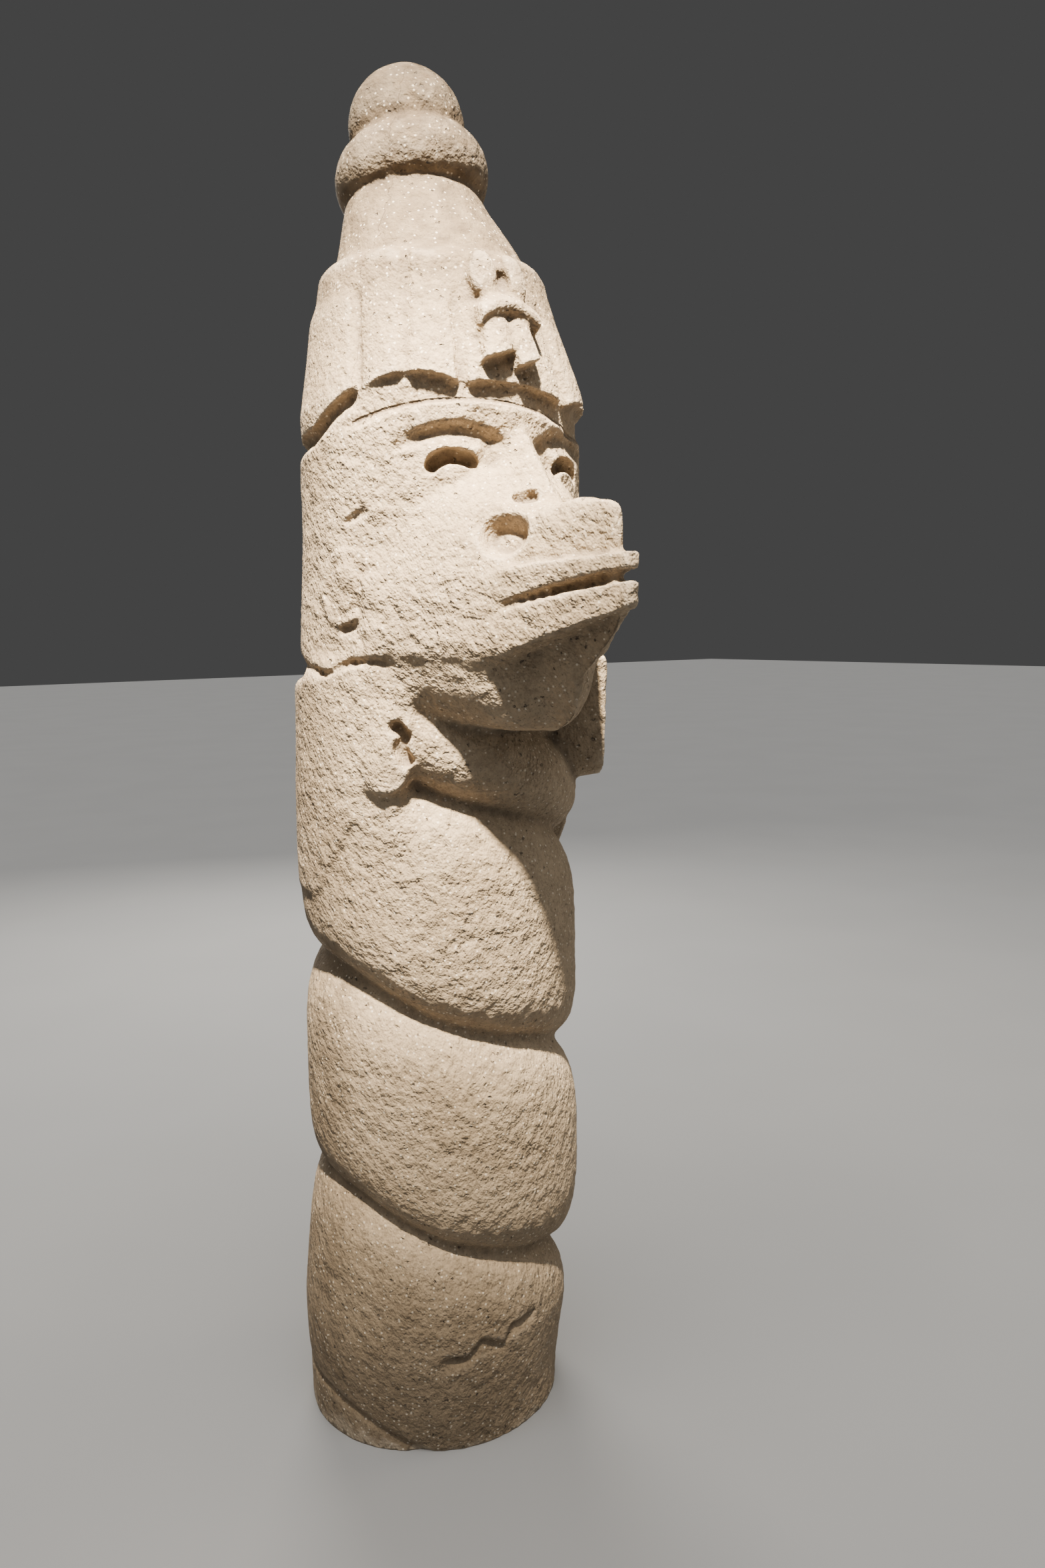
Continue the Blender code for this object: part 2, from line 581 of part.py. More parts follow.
def make_muzzle():
    """Core of the muzzle: snout above, chin below, both inside the lips."""
    rings = []
    middle = LIP_TOP_Z - 0.02
    for y in np.linspace(BEAK_ROOT_Y, SNOUT_TIP_Y, BEAK_ROWS):
        inset = 0.001 + CHANNEL_DEPTH * float(ease(MOUTH_CORNER_Y + 0.012, MOUTH_CORNER_Y - 0.030, y))
        tip = 0.35 + 0.65 * tip_rounding(y, SNOUT_TIP_Y)
        half = max(muzzle_half(y) - inset, 0.012) * tip
        blocky = 2.2 + 2.8 * float(ease(-0.33, -0.42, y))
        jowl = 3.4 - 2.2 * float(ease(-0.290, -0.365, y))
        up = (snout_height(y) - middle) * (0.6 + 0.4 * tip)
        down = (middle - chin_height(y)) * (0.8 + 0.2 * tip)
        rings.append(power_ring(half, middle, up, down, blocky, jowl, float(y)))
    return skin_rings("muzzle", rings)


def make_lip(name, low, high):
    """One lip: a band round the muzzle whose edges are functions of y."""
    rings = []
    for y in np.linspace(BEAK_ROOT_Y, BEAK_TIP_Y, BEAK_ROWS):
        tip = tip_rounding(y, BEAK_TIP_Y)
        half = (muzzle_half(y) + LIP_PROUD) * (0.15 + 0.85 * tip)
        middle = 0.5 * (high(y) + low(y))
        tall = (high(y) - middle) * (0.75 + 0.25 * tip)
        rings.append(power_ring(half, middle, tall, tall, LIP_SQUARENESS, LIP_SQUARENESS, float(y)))
    return skin_rings(name, rings)


def upper_lip_low(y):
    """Lower edge of the upper lip."""
    rise = UPPER_LIP_RISE * (1.0 - (1.0 - mouth_share(y)) ** 1.6)
    return MOUTH_Z + rise - LIP_ROOT_OVERLAP * (y > MOUTH_CORNER_Y)


def upper_lip_high(y):
    """Upper edge of the upper lip."""
    return LIP_TOP_Z + UPPER_LIP_LIFT * mouth_share(y)


def lower_lip_high(y):
    """Upper edge of the lower lip."""
    share = mouth_share(y)
    arch = LOWER_LIP_ARCH * share * (1.0 - share)
    return MOUTH_Z + LOWER_LIP_RISE * share + arch + LIP_ROOT_OVERLAP * (y > MOUTH_CORNER_Y)


def lower_lip_low(y):
    """Lower edge of the lower lip, rising to the tip."""
    return LOWER_LIP_Z + LOWER_LIP_LIFT * mouth_share(y) ** 0.8


def make_nose():
    """Nose: a ridge that comes forward from the brow down to the snout."""
    rings = []
    for share in np.linspace(-0.12, 1.15, 20):
        z = NOSE_TOP_Z - share * (NOSE_TOP_Z - NOSE_TIP_Z)
        reach = NOSE_BACK_Y - NOSE_FRONT_Y + NOSE_REACH * share
        half = NOSE_HALF_WIDTH * (0.50 + 0.50 * min(max(share, 0.0), 1.0))
        ring = []
        for turn in np.linspace(0.0, 2.0 * math.pi, BEAK_SIDES, endpoint=False):
            c = math.cos(turn)
            s = math.sin(turn)
            x = half * math.copysign(abs(c) ** NOSE_SQUARENESS, c)
            y = NOSE_BACK_Y - reach * math.copysign(abs(s) ** NOSE_SQUARENESS, s)
            ring.append((x, y, z))
        rings.append(ring)
    return skin_rings("nose", rings)


def make_beak():
    """Muzzle, nose and the two lips with the channel between them."""
    return [
        make_muzzle(),
        make_nose(),
        make_lip("upper_lip", upper_lip_low, upper_lip_high),
        make_lip("lower_lip", lower_lip_low, lower_lip_high),
    ]


def bake(piece):
    """Replace a piece's mesh by the result of its modifiers."""
    depsgraph = bpy.context.evaluated_depsgraph_get()
    mesh = bpy.data.meshes.new_from_object(piece.evaluated_get(depsgraph))
    piece.modifiers.clear()
    piece.data = mesh
    return piece


def merge(pieces, name):
    """One body from overlapping closed pieces."""
    whole = bmesh.new()
    for piece in pieces:
        part = bmesh.new()
        part.from_mesh(piece.data)
        bmesh.ops.transform(part, matrix=piece.matrix_basis, verts=part.verts)
        bmesh.ops.recalc_face_normals(part, faces=part.faces)
        mesh = bpy.data.meshes.new("piece")
        part.to_mesh(mesh)
        part.free()
        whole.from_mesh(mesh)
        bpy.data.meshes.remove(mesh)
        bpy.data.objects.remove(piece, do_unlink=True)
    joined = bpy.data.meshes.new(name)
    whole.to_mesh(joined)
    whole.free()
    body = bpy.data.objects.new(name, joined)
    bpy.context.scene.collection.objects.link(body)
    carve = body.modifiers.new("Carve", "REMESH")
    carve.mode = "VOXEL"
    carve.voxel_size = CARVING_CELL
    return bake(body)


def vertex_points(body):
    """Vertex positions and normals of a body as arrays."""
    count = len(body.data.vertices)
    points = np.empty(count * 3)
    normals = np.empty(count * 3)
    body.data.vertices.foreach_get("co", points)
    body.data.vertices.foreach_get("normal", normals)
    return points.reshape(count, 3), normals.reshape(count, 3)


def soften_cheeks(body):
    """Blend the muzzle into the cheeks and the jaw into the neck."""
    x, y, z = vertex_points(body)[0].T
    weight = ease(MOUTH_CORNER_Y - 0.02, MOUTH_CORNER_Y + 0.04, y) * ease(-0.165, -0.20, y)
    weight = weight * ease(0.02, 0.05, np.abs(x))
    weight = weight * ease(1.22, 1.26, z) * ease(EYE_Z - 0.020, EYE_Z - 0.045, z)
    cheeks = body.vertex_groups.new(name="cheeks")
    for index in np.flatnonzero(weight > 0.0):
        cheeks.add([int(index)], float(weight[index]), "REPLACE")
    blend = body.modifiers.new("Blend", "SMOOTH")
    blend.factor = 0.5
    blend.iterations = int(CHEEK_BLEND / CARVING_CELL ** 2)
    blend.vertex_group = "cheeks"
    return bake(body)


def press_nostrils(body):
    """Round pits beside the nose and a small hole above each, pressed in along the surface."""
    points, normals = vertex_points(body)
    sides = np.abs(points[:, 0])
    depth = np.zeros(len(points))
    for across, y, z, radius, deep in NOSTRIL_PITS:
        far = np.sqrt((sides - across) ** 2 + (points[:, 1] - y) ** 2 + (points[:, 2] - z) ** 2)
        depth = np.maximum(depth, deep * ease(1.15, 0.55, far / radius))
    moved = points - normals * depth[:, None]
    body.data.vertices.foreach_set("co", moved.ravel())
    body.data.update()
    return body


def reduce_facets(body, budget):
    """Fewer, larger facets with the same form."""
    body.data.calc_loop_triangles()
    thin = body.modifiers.new("Reduce", "DECIMATE")
    thin.ratio = min(1.0, budget / len(body.data.loop_triangles))
    return bake(body)


def cut_flat(body):
    """Cut the foot off flat at z = 0 and close it."""
    work = bmesh.new()
    work.from_mesh(body.data)
    geometry = work.verts[:] + work.edges[:] + work.faces[:]
    bmesh.ops.bisect_plane(
        work, geom=geometry, dist=1e-5, plane_co=(0.0, 0.0, 0.0), plane_no=(0.0, 0.0, 1.0), clear_inner=True)
    rim = [edge for edge in work.edges if edge.is_boundary]
    bmesh.ops.contextual_create(work, geom=rim)
    bmesh.ops.triangulate(work, faces=work.faces[:])
    bmesh.ops.recalc_face_normals(work, faces=work.faces[:])
    work.to_mesh(body.data)
    work.free()
    return body


def stone_material():
    """Grey-beige porous volcanic stone."""
    material = bpy.data.materials.new("volcanic_stone")
    material.use_nodes = True
    shader = material.node_tree.nodes["Principled BSDF"]
    shader.inputs["Base Color"].default_value = STONE_COLOUR
    shader.inputs["Roughness"].default_value = STONE_ROUGHNESS
    shader.inputs["Metallic"].default_value = 0.0
    return material


def main():
    """Build the sculpture."""
    for old in list(bpy.data.objects):
        bpy.data.objects.remove(old, do_unlink=True)
    pieces = [make_column()] + make_knob() + make_beak()
    body = merge(pieces, "deity_sculpture")
    body = press_nostrils(soften_cheeks(body))
    body = reduce_facets(body, FACET_BUDGET)
    body = cut_flat(body)
    body.data.materials.clear()
    body.data.materials.append(stone_material())
    body.data.shade_smooth()
    body.data.set_sharp_from_angle(angle=math.radians(50.0))


main()
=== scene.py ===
"""Dressed stone deity sculpture: the solid's own form, carved finer, in porous volcanic stone.

The form repeats the solid's functions on a finer grid. Worn relief, chips, cracks and peck marks are mesh;
finer pecking, pores, mottling and pale crystals are in the material. Metres, +Z up, the beak points along -Y.
"""

import itertools
import math

import bmesh
import bpy
import numpy as np
from mathutils import Matrix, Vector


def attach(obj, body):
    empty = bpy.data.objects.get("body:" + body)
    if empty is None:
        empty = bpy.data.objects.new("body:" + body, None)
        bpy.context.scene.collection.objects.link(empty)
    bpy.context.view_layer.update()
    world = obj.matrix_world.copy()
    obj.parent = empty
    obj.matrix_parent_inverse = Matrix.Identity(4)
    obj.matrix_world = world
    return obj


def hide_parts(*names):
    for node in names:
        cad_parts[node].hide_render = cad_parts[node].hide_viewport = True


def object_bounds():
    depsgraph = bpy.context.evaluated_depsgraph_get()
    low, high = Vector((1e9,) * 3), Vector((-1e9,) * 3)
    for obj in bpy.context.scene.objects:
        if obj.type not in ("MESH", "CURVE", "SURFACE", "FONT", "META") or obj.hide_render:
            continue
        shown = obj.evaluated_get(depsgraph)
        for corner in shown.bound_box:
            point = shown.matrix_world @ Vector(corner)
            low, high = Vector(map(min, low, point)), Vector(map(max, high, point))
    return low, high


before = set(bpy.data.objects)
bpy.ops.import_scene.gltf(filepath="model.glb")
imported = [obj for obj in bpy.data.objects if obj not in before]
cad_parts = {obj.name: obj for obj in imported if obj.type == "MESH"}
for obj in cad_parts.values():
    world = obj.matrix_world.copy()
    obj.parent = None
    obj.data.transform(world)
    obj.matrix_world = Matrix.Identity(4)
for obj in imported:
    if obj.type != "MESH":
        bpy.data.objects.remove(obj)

NODE = "deity_sculpture"
CAD_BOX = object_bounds()

# Heights along the column
KNOB_CENTRE_Z = 2.182
KNOB_HALF_HEIGHT = 0.100
RING_CENTRE_Z = 2.102
RING_HALF_HEIGHT = 0.054
CROWN_TOP_Z = 1.947
CROWN_RIM_Z = 1.714
HEADBAND_Z = 1.7055
EYE_Z = 1.609
NOSE_TOP_Z = 1.665
NOSE_TIP_Z = 1.545
BREAK_Z = 1.312
COLLAR_HEIGHT = 0.145

# Radii of the turned parts
KNOB_RADIUS = 0.097
RING_RADIUS = 0.129
RING_TUBE = 0.040
KNOB_SHIFT = 0.005
CONE_BASE_RADIUS = 0.156
CONE_SLOPE = 0.36
CROWN_TOP_RADIUS = 0.180
CROWN_RIM_RADIUS = 0.222
CROWN_SHOULDER = 0.028
HEAD_RADIUS = 0.231
NECK_RADIUS = 0.203
LOBE_RADIUS = 0.241
GROOVE_RADIUS = 0.196

# The coil: one groove that runs down towards the figure's left
COIL_PITCH = 0.376
COIL_START_Z = 0.331
COIL_SWAY = 0.030
COIL_SWAY_ANGLE = 76.0
COIL_SWAY_SPREAD = 32.0
LOBE_FULLNESS = 4.5
COLLAR_FULLNESS = 2.3
LOBE_SAG = 0.86
GROOVE_WEAR = 0.70
WORN_SIDE_ANGLE = 105.0
WORN_SIDE_SPREAD = 55.0
FOOT_GROOVE_WEAR = 0.75
FOOT_CREASE = 0.006
FOOT_TAPER = 0.015

# The column's middle line: the foot drifts, the head leans forward, the hat back
FOOT_DRIFT_X = -0.025
FOOT_DRIFT_Y = 0.016
HEAD_FORWARD = 0.039
HAT_BACK = 0.033
HAT_TILT = 17.0

# The muzzle and its beak
MUZZLE_ROOT_Y = -0.153
MUZZLE_ROOT_HALF = 0.2055
MUZZLE_TAPER = 0.554
MOUTH_CORNER_Y = -0.344
BEAK_TIP_Y = -0.529
SNOUT_TIP_Y = -0.499
MOUTH_Z = 1.402
LIP_TOP_Z = 1.463
CHANNEL_DEPTH = 0.014
SNOUT_TOP_Z = 1.549
SNOUT_CHEEK_RISE = 0.085
SNOUT_BUMP_Y = -0.432
SNOUT_BUMP = 0.005
SNOUT_DIP = 0.007
BEAK_ROOT_Y = -0.080
UPPER_LIP_RISE = 0.048
UPPER_LIP_LIFT = 0.014
LOWER_LIP_RISE = 0.035
LOWER_LIP_ARCH = 0.018
LOWER_LIP_Z = 1.322
LOWER_LIP_LIFT = 0.078
LIP_ROOT_OVERLAP = 0.010
CHIN_Z = 1.216
CHIN_TURN_Y = -0.330
CHIN_ROUNDING = 0.084
CHIN_SLOPE = 0.88
TIP_ROUNDING = 0.014
LIP_SQUARENESS = 9.0
LIP_PROUD = 0.005
NOSE_HALF_WIDTH = 0.086
NOSE_BACK_Y = -0.200
NOSE_FRONT_Y = -0.276
NOSE_REACH = 0.090
NOSE_SQUARENESS = 1.30

# Low relief
PLEAT_ANGLES = (22.8, 44.0, 64.0)
PLEAT_TOPS = (1.875, 1.945, 1.895)
PLEAT_DEPTH = 0.012
PLEAT_WIDTH = 0.0075
PLEAT_SLANT = 30.0
PLEAT_OPENING = 0.9
PLEAT_OPENING_Z = 1.80
BACK_SEAM_ANGLE = 138.0
RIM_FLARE = 0.026
RIM_FLARE_ANGLE = 38.0
RIM_FLARE_FRONT = 46.0
RIM_FLARE_SIDE = 23.0
RIM_UNDERCUT = 0.016
RIM_SCALLOP = 0.015
RIM_SCALLOP_SPAN = 36.0
RIM_SIDE_DROP = 0.049
RIM_SIDE_START = 62.0
RIM_SIDE_END = 96.0
RIM_TILT = 0.0004
HEADBAND_STEP = 0.007
HEADBAND_ANGLE = 17.0
HEADBAND_DROP = 0.036
HEADBAND_REACH = 48.0
NECK_SWELL = 0.007
JAW_Z = 1.232
JAW_RISE = 0.100
JAW_EAR_DROP = 0.050
JAW_EAR_ANGLE = 54.0
PANEL_STEP = 0.006
PANEL_TOP_Z = 1.890
KNOT_ANGLE = 2.5
KNOT_Z = 1.849
LOOP_Z = 1.893
LOOP_HALF_WIDTH = 0.030
LOOP_HALF_HEIGHT = 0.043
LOOP_RISE = 0.027
BAND_HALF_LENGTH = 0.053
BAND_HALF_HEIGHT = 0.020
BAND_DROP = 0.022
BAND_RISE = 0.035
TAIL_WIDTHS = (0.036, 0.048)
TAIL_LENGTH = 0.086
TAIL_FLARE = 0.08
TAIL_SLANT = 0.35
TAIL_RISE = 0.021
TAIL_SLOPE = 0.09
SLIT_HALF_WIDTH = 0.007
SLIT_HALF_HEIGHT = 0.019
EYE_ANGLE = 27.5
EYE_HALF_WIDTH = 0.040
EYE_HALF_HEIGHT = 0.023
EYE_DEPTH = 0.034
EYE_CORNER_ANGLE = 13.0
EYE_CORNER_DEPTH = 0.009
BROW_RISE = 0.062
BROW_SAG = 0.021
BROW_HALF_SPAN = 19.0
BROW_DEPTH = 0.016
EAR_ANGLE = 71.0
EAR_Z = 1.437
EAR_RADIUS = 0.063
EAR_STEP = 0.0035
EAR_RING_DEPTH = 0.003
EAR_HOOK_DEPTH = 0.010
EAR_SLOT_DEPTH = 0.006
PENDANT_ANGLE = 51.0
PENDANT_TIP_Z = 1.113
PENDANT_HALF_WIDTH = 0.045
PENDANT_TOP_Z = 1.330
PENDANT_RISE = 0.013
PENDANT_RECESS = 0.022
PENDANT_RECESS_PATH = ((47.0, 1.226), (44.0, 1.212), (45.5, 1.196), (43.0, 1.174))
PROUD_PENDANT_RADIUS = 0.280
PENDANT_SLOPE = 0.016
FLAP_TIP_Z = 0.945
FLAP_SLANT = 0.155
FLAP_START_ANGLE = 55.0
FLAP_ANGLE = 92.0
FLAP_RADIUS = 0.245
FLAP_FADE_Z = (1.345, 1.300)
CRACK_WIDTH = 0.007
CRACK_DEPTH = 0.013
BREAK_FRONT_RISE = 0.022
BREAK_DIP = 0.009
BREAK_DIP_ANGLE = 79.0
BREAK_SPOT = ((50.0, 1.338), (51.0, 1.325))
BREAK_SPOT_DEPTH = 0.014
NOTCH_ANGLE = 118.0
NOTCH_SPREAD = 15.0
NOTCH_HALF_HEIGHT = 0.015
NOTCH_DEPTH = 0.040
CHIP_ANGLES = (-12.7, 0.3, 2.8, 12.7, 18.0, 28.6)
CHIP_HEIGHTS = (0.219, 0.212, 0.184, 0.204, 0.179, 0.176)
CHIP_LEDGE = 0.009
CHIP_FADE = 0.030
CHEEK_BLEND = 0.0016

# Nostrils: distance from the middle, y, z, radius and depth of each pit
NOSTRIL_PITS = (
    (0.096, -0.334, 1.526, 0.040, 0.006),
    (0.092, -0.342, 1.513, 0.037, 0.034),
    (0.098, -0.331, 1.553, 0.011, 0.014),
    (0.103, -0.322, 1.544, 0.012, 0.016),
    (0.108, -0.313, 1.531, 0.013, 0.017),
    (0.104, -0.320, 1.518, 0.011, 0.012),
    (0.043, -0.328, 1.567, 0.013, 0.015),
    (0.033, -0.334, 1.566, 0.013, 0.015),
)

# Grid of the beak's forms, and how far the raw column runs below the floor line
BEAK_SIDES = 64
BEAK_ROWS = 110
SINK = 0.03

# Fine mesh
FINE_RING_STEPS = 480
FINE_ROW_HEIGHT = 0.003
FINE_CELL = 0.004
FINE_TRIANGLES = 196000
BOX_MARGIN = 0.0003

# Hand-carved unevenness and wear: size of the cells and depth, both in metres
SWELL_CELL = 0.085
SWELL_DEPTH = 0.0024
DRESSING_CELL = 0.024
DRESSING_DEPTH = 0.0014
PECK_CELL = 0.0105
PECK_DEPTH = 0.0018
CHIP_CELL = 0.021
CHIP_DEPTH = 0.0050
NOISE_SIZE = 64
NOISE_SEED = 7

# Smoothing passes that find sharp edges and hollows, and the range in metres from proud edge to hollow
EDGE_PASSES = 12
HOLLOW_PASSES = 30
HOLLOW_RANGE = 0.010

# Freshly pecked front: the angle of its middle, and the angles from there over which it fades
PECKED_MIDDLE = -8.0
PECKED_FADE = (48.0, 88.0)

# Brown stain, and painted shade on the hat, knob and foot: size of its clouds in metres, its share on each
# part, and where it fades in
STAIN_CELL = 0.055
FINE_STAIN_CELL = 0.019
BACK_STAIN = 0.7
HAT_STAIN_AND_SHADE = 0.85
KNOB_STAIN_AND_SHADE = 0.45
FOOT_STAIN_AND_SHADE = 0.40
BACK_STAIN_ANGLES = (58.0, 84.0)
BACK_STAIN_Z = (1.45, 1.10)
FOOT_STAIN_AND_SHADE_Z = (0.50, 0.06)

# The line cut round the forehead: range stored on the mesh, half its width in that range, outer reach
LINE_RANGE = 0.100
LINE_EDGE = 0.055
LINE_REACH = 0.33

# Colours of the stone
BASE_DARK = (0.225, 0.170, 0.110, 1.0)
BASE_LIGHT = (0.315, 0.245, 0.165, 1.0)
CLOUD_COLOUR = (0.215, 0.165, 0.112, 1.0)
# Brown of the stain, also used as painted shade on the hat, knob and foot
STAIN_AND_SHADE_DARK = (0.070, 0.050, 0.032, 1.0)
STAIN_AND_SHADE_LIGHT = (0.115, 0.084, 0.054, 1.0)
GRIT_COLOUR = (0.390, 0.305, 0.205, 1.0)
DUSK_COLOUR = (0.150, 0.112, 0.078, 1.0)
FLECK_COLOUR = (0.620, 0.550, 0.440, 1.0)
SPECK_COLOUR = (0.090, 0.070, 0.055, 1.0)
# Painted shade inside the pores
PORE_SHADE_COLOUR = (0.100, 0.080, 0.065, 1.0)
# Painted shade in the groove of the forehead line
LINE_SHADE_COLOUR = (0.130, 0.095, 0.065, 1.0)
# Painted shade in the hollows
HOLLOW_SHADE_COLOUR = (0.105, 0.080, 0.058, 1.0)
WORN_COLOUR = (0.500, 0.425, 0.325, 1.0)

# Texture scales: about how many features of each kind there are in a metre
MOTTLE_SCALE = 5.0
CLOUD_SCALE = 38.0
GRIT_SCALE = 130.0
DUSK_SCALE = 170.0
FLECK_SCALE = 130.0
SPECK_SCALE = 240.0
PORE_SCALE = 95.0
RAGGED_SCALE = 160.0
LINE_WANDER_SCALE = 90.0
PECK_SCALE = 48.0
GRAIN_SCALE = 150.0
FINE_GRAIN_SCALE = 310.0
GRAIN_FADE_SCALE = 33.0

# How far noise shifts the edges of the pores, and of the forehead line in its own range
RAGGED_SHARE = 0.012
LINE_WANDER = 0.012

# Depths in metres of the relief that is too fine for the mesh
PECK_BUMP = 0.0100
PORE_BUMP = 0.0035
LINE_BUMP = 0.0035
GRAIN_BUMP = 0.0026
GRAIN_STRENGTH = 0.9

# Floor
FLOOR_SIZE = 60.0
FLOOR_GAP = 0.0005
FLOOR_COLOUR = (0.60, 0.59, 0.57, 1.0)
FLOOR_ROUGHNESS = 0.9

# Camera, as it stood for the photograph
CAMERA_FAR = 200.0
LENS_MM = 27.0
SENSOR_MM = 36.0
CAMERA_ANGLE = 31.0
CAMERA_DISTANCE = 2.035
CAMERA_HEIGHT = 1.379
CAMERA_PITCH = 7.75
CAMERA_ROLL = 0.8
CAMERA_TURN = 4.206

# Lights: name, kind, angle round the figure, height, distance, size, power and colour
KEY_LIGHT = ("key_light", "SPOT", 36.0, 7.5, 3.1, 0.22, 37000.0, (1.0, 0.87, 0.69))
SOFT_LIGHTS = (
    ("fill_light", "AREA", 95.0, 2.6, 3.6, 1.6, 12.0, (1.0, 0.92, 0.82)),
    ("side_light", "AREA", 290.0, 2.2, 3.6, 1.6, 16.0, (1.0, 0.90, 0.76)),
    ("back_light", "AREA", 200.0, 3.0, 4.0, 2.5, 110.0, (1.0, 0.96, 0.90)),
)
AIM_HEIGHT = 1.28
KEY_BEAM = 9.8
EVEN_LIGHT_POWER = 1.6
EVEN_LIGHT_LEAN = (18.0, -12.0)
EVEN_LIGHT_SPREAD = 60.0
SURROUND_COLOUR = (0.80, 0.80, 0.80, 1.0)
SURROUND_STRENGTH = 0.08


def ease(edge_low, edge_high, value):
    """Smooth ramp from 0 at edge_low to 1 at edge_high."""
    t = np.clip((value - edge_low) / (edge_high - edge_low), 0.0, 1.0)
    return t * t * (3.0 - 2.0 * t)


def wrap(angle):
    """Angle in degrees brought into -180 to 180."""
    return (angle + 180.0) % 360.0 - 180.0


def along(angle):
    """Arc length on the head for an angle in degrees."""
    return np.radians(angle) * HEAD_RADIUS


def path_distance(angle, height, points):
    """Distance on the unrolled surface to a path of (angle, height) points."""
    nearest = np.full(np.broadcast(angle, height).shape, 1.0)
    for (angle_a, z_a), (angle_b, z_b) in zip(points[:-1], points[1:]):
        across = along(wrap(angle - angle_a))
        up = height - z_a
        run = along(angle_b - angle_a)
        rise = z_b - z_a
        t = np.clip((across * run + up * rise) / (run * run + rise * rise), 0.0, 1.0)
        nearest = np.minimum(nearest, np.hypot(across - t * run, up - t * rise))
    return nearest


def oval(angle, height, centre_angle, centre_z, half_width, half_height):
    """Value under 1 inside an oval on the unrolled surface."""
    across = along(wrap(angle - centre_angle)) / half_width
    return np.hypot(across, (height - centre_z) / half_height)


def centre_x(z):
    """Sideways drift of the column's middle line."""
    return FOOT_DRIFT_X * ease(0.47, 0.02, z)


def centre_y(z):
    """Fore and aft drift of the column's middle line."""
    foot = FOOT_DRIFT_Y * ease(0.47, 0.02, z)
    head = -HEAD_FORWARD * ease(0.97, 1.62, z)
    crown = 0.4 * HEAD_FORWARD * ease(1.67, 1.94, z)
    hat = (HAT_BACK + 0.6 * HEAD_FORWARD) * ease(1.92, RING_CENTRE_Z, z)
    return foot + head + crown + hat


def groove_height(angle, turn):
    """Height of the coil's groove at an angle, on a given turn."""
    sway = COIL_SWAY * np.exp(-((angle - COIL_SWAY_ANGLE) / COIL_SWAY_SPREAD) ** 2)
    return COIL_START_Z + COIL_PITCH * (turn + angle / 360.0) + sway


def lobe(share, fullness):
    """Swelling of a coil from one groove (0) to the next (1)."""
    sagged = np.clip(share, 0.0, 1.0) ** LOBE_SAG
    return 1.0 - np.abs(2.0 * sagged - 1.0) ** fullness


def coil_radius(angle, z):
    """Radius of the coiled body and of the slimmer collar under the head."""
    turns = (z - groove_height(angle, 0)) / COIL_PITCH
    share = turns - np.floor(turns)
    worn = np.exp(-(wrap(angle - WORN_SIDE_ANGLE) / WORN_SIDE_SPREAD) ** 2)
    worn = GROOVE_WEAR * worn * ease(0.85, 0.10, z)
    depth = (LOBE_RADIUS - GROOVE_RADIUS) * (1.0 - worn) * (1.0 - FOOT_GROOVE_WEAR * ease(0.20, 0.10, z))
    crease = FOOT_CREASE * np.exp(-((z - groove_height(angle, -1)) / 0.006) ** 2)
    body = LOBE_RADIUS - depth * (1.0 - lobe(share, LOBE_FULLNESS)) - crease
    body = body - FOOT_TAPER * ease(0.22, 0.0, z)
    above = (z - groove_height(angle, 2)) / COLLAR_HEIGHT
    collar = NECK_RADIUS + (LOBE_RADIUS - NECK_RADIUS) * lobe(above, COLLAR_FULLNESS)
    return np.where(above > 0.0, collar, body)


def crown_radius(z):
    """Radius of the pleated crown with its rounded shoulder."""
    share = np.clip((CROWN_TOP_Z - z) / (CROWN_TOP_Z - CROWN_RIM_Z), 0.0, 1.0)
    straight = CROWN_TOP_RADIUS + (CROWN_RIM_RADIUS - CROWN_TOP_RADIUS) * share
    inset = np.clip((CROWN_SHOULDER - (CROWN_TOP_Z - z)) / CROWN_SHOULDER, 0.0, 1.0)
    return straight - CROWN_SHOULDER * (1.0 - np.sqrt(1.0 - inset * inset))


def rim_height(angle):
    """Lower edge of the crown: two scallops a side in front, hanging lower over the ears."""
    side = np.abs(wrap(angle))
    inner = np.sin(np.pi * np.clip((side + PLEAT_ANGLES[0]) / (2.0 * PLEAT_ANGLES[0]), 0.0, 1.0))
    outer = np.sin(np.pi * np.clip((side - PLEAT_ANGLES[0]) / RIM_SCALLOP_SPAN, 0.0, 1.0))
    scallops = RIM_SCALLOP * (inner ** 0.6 + 0.9 * outer ** 0.7)
    drop = RIM_SIDE_DROP * ease(RIM_SIDE_START, RIM_SIDE_END, side)
    tilt = RIM_TILT * np.clip(wrap(angle), -20.0, 40.0) * ease(150.0, 80.0, side)
    return CROWN_RIM_Z + scallops - drop + tilt


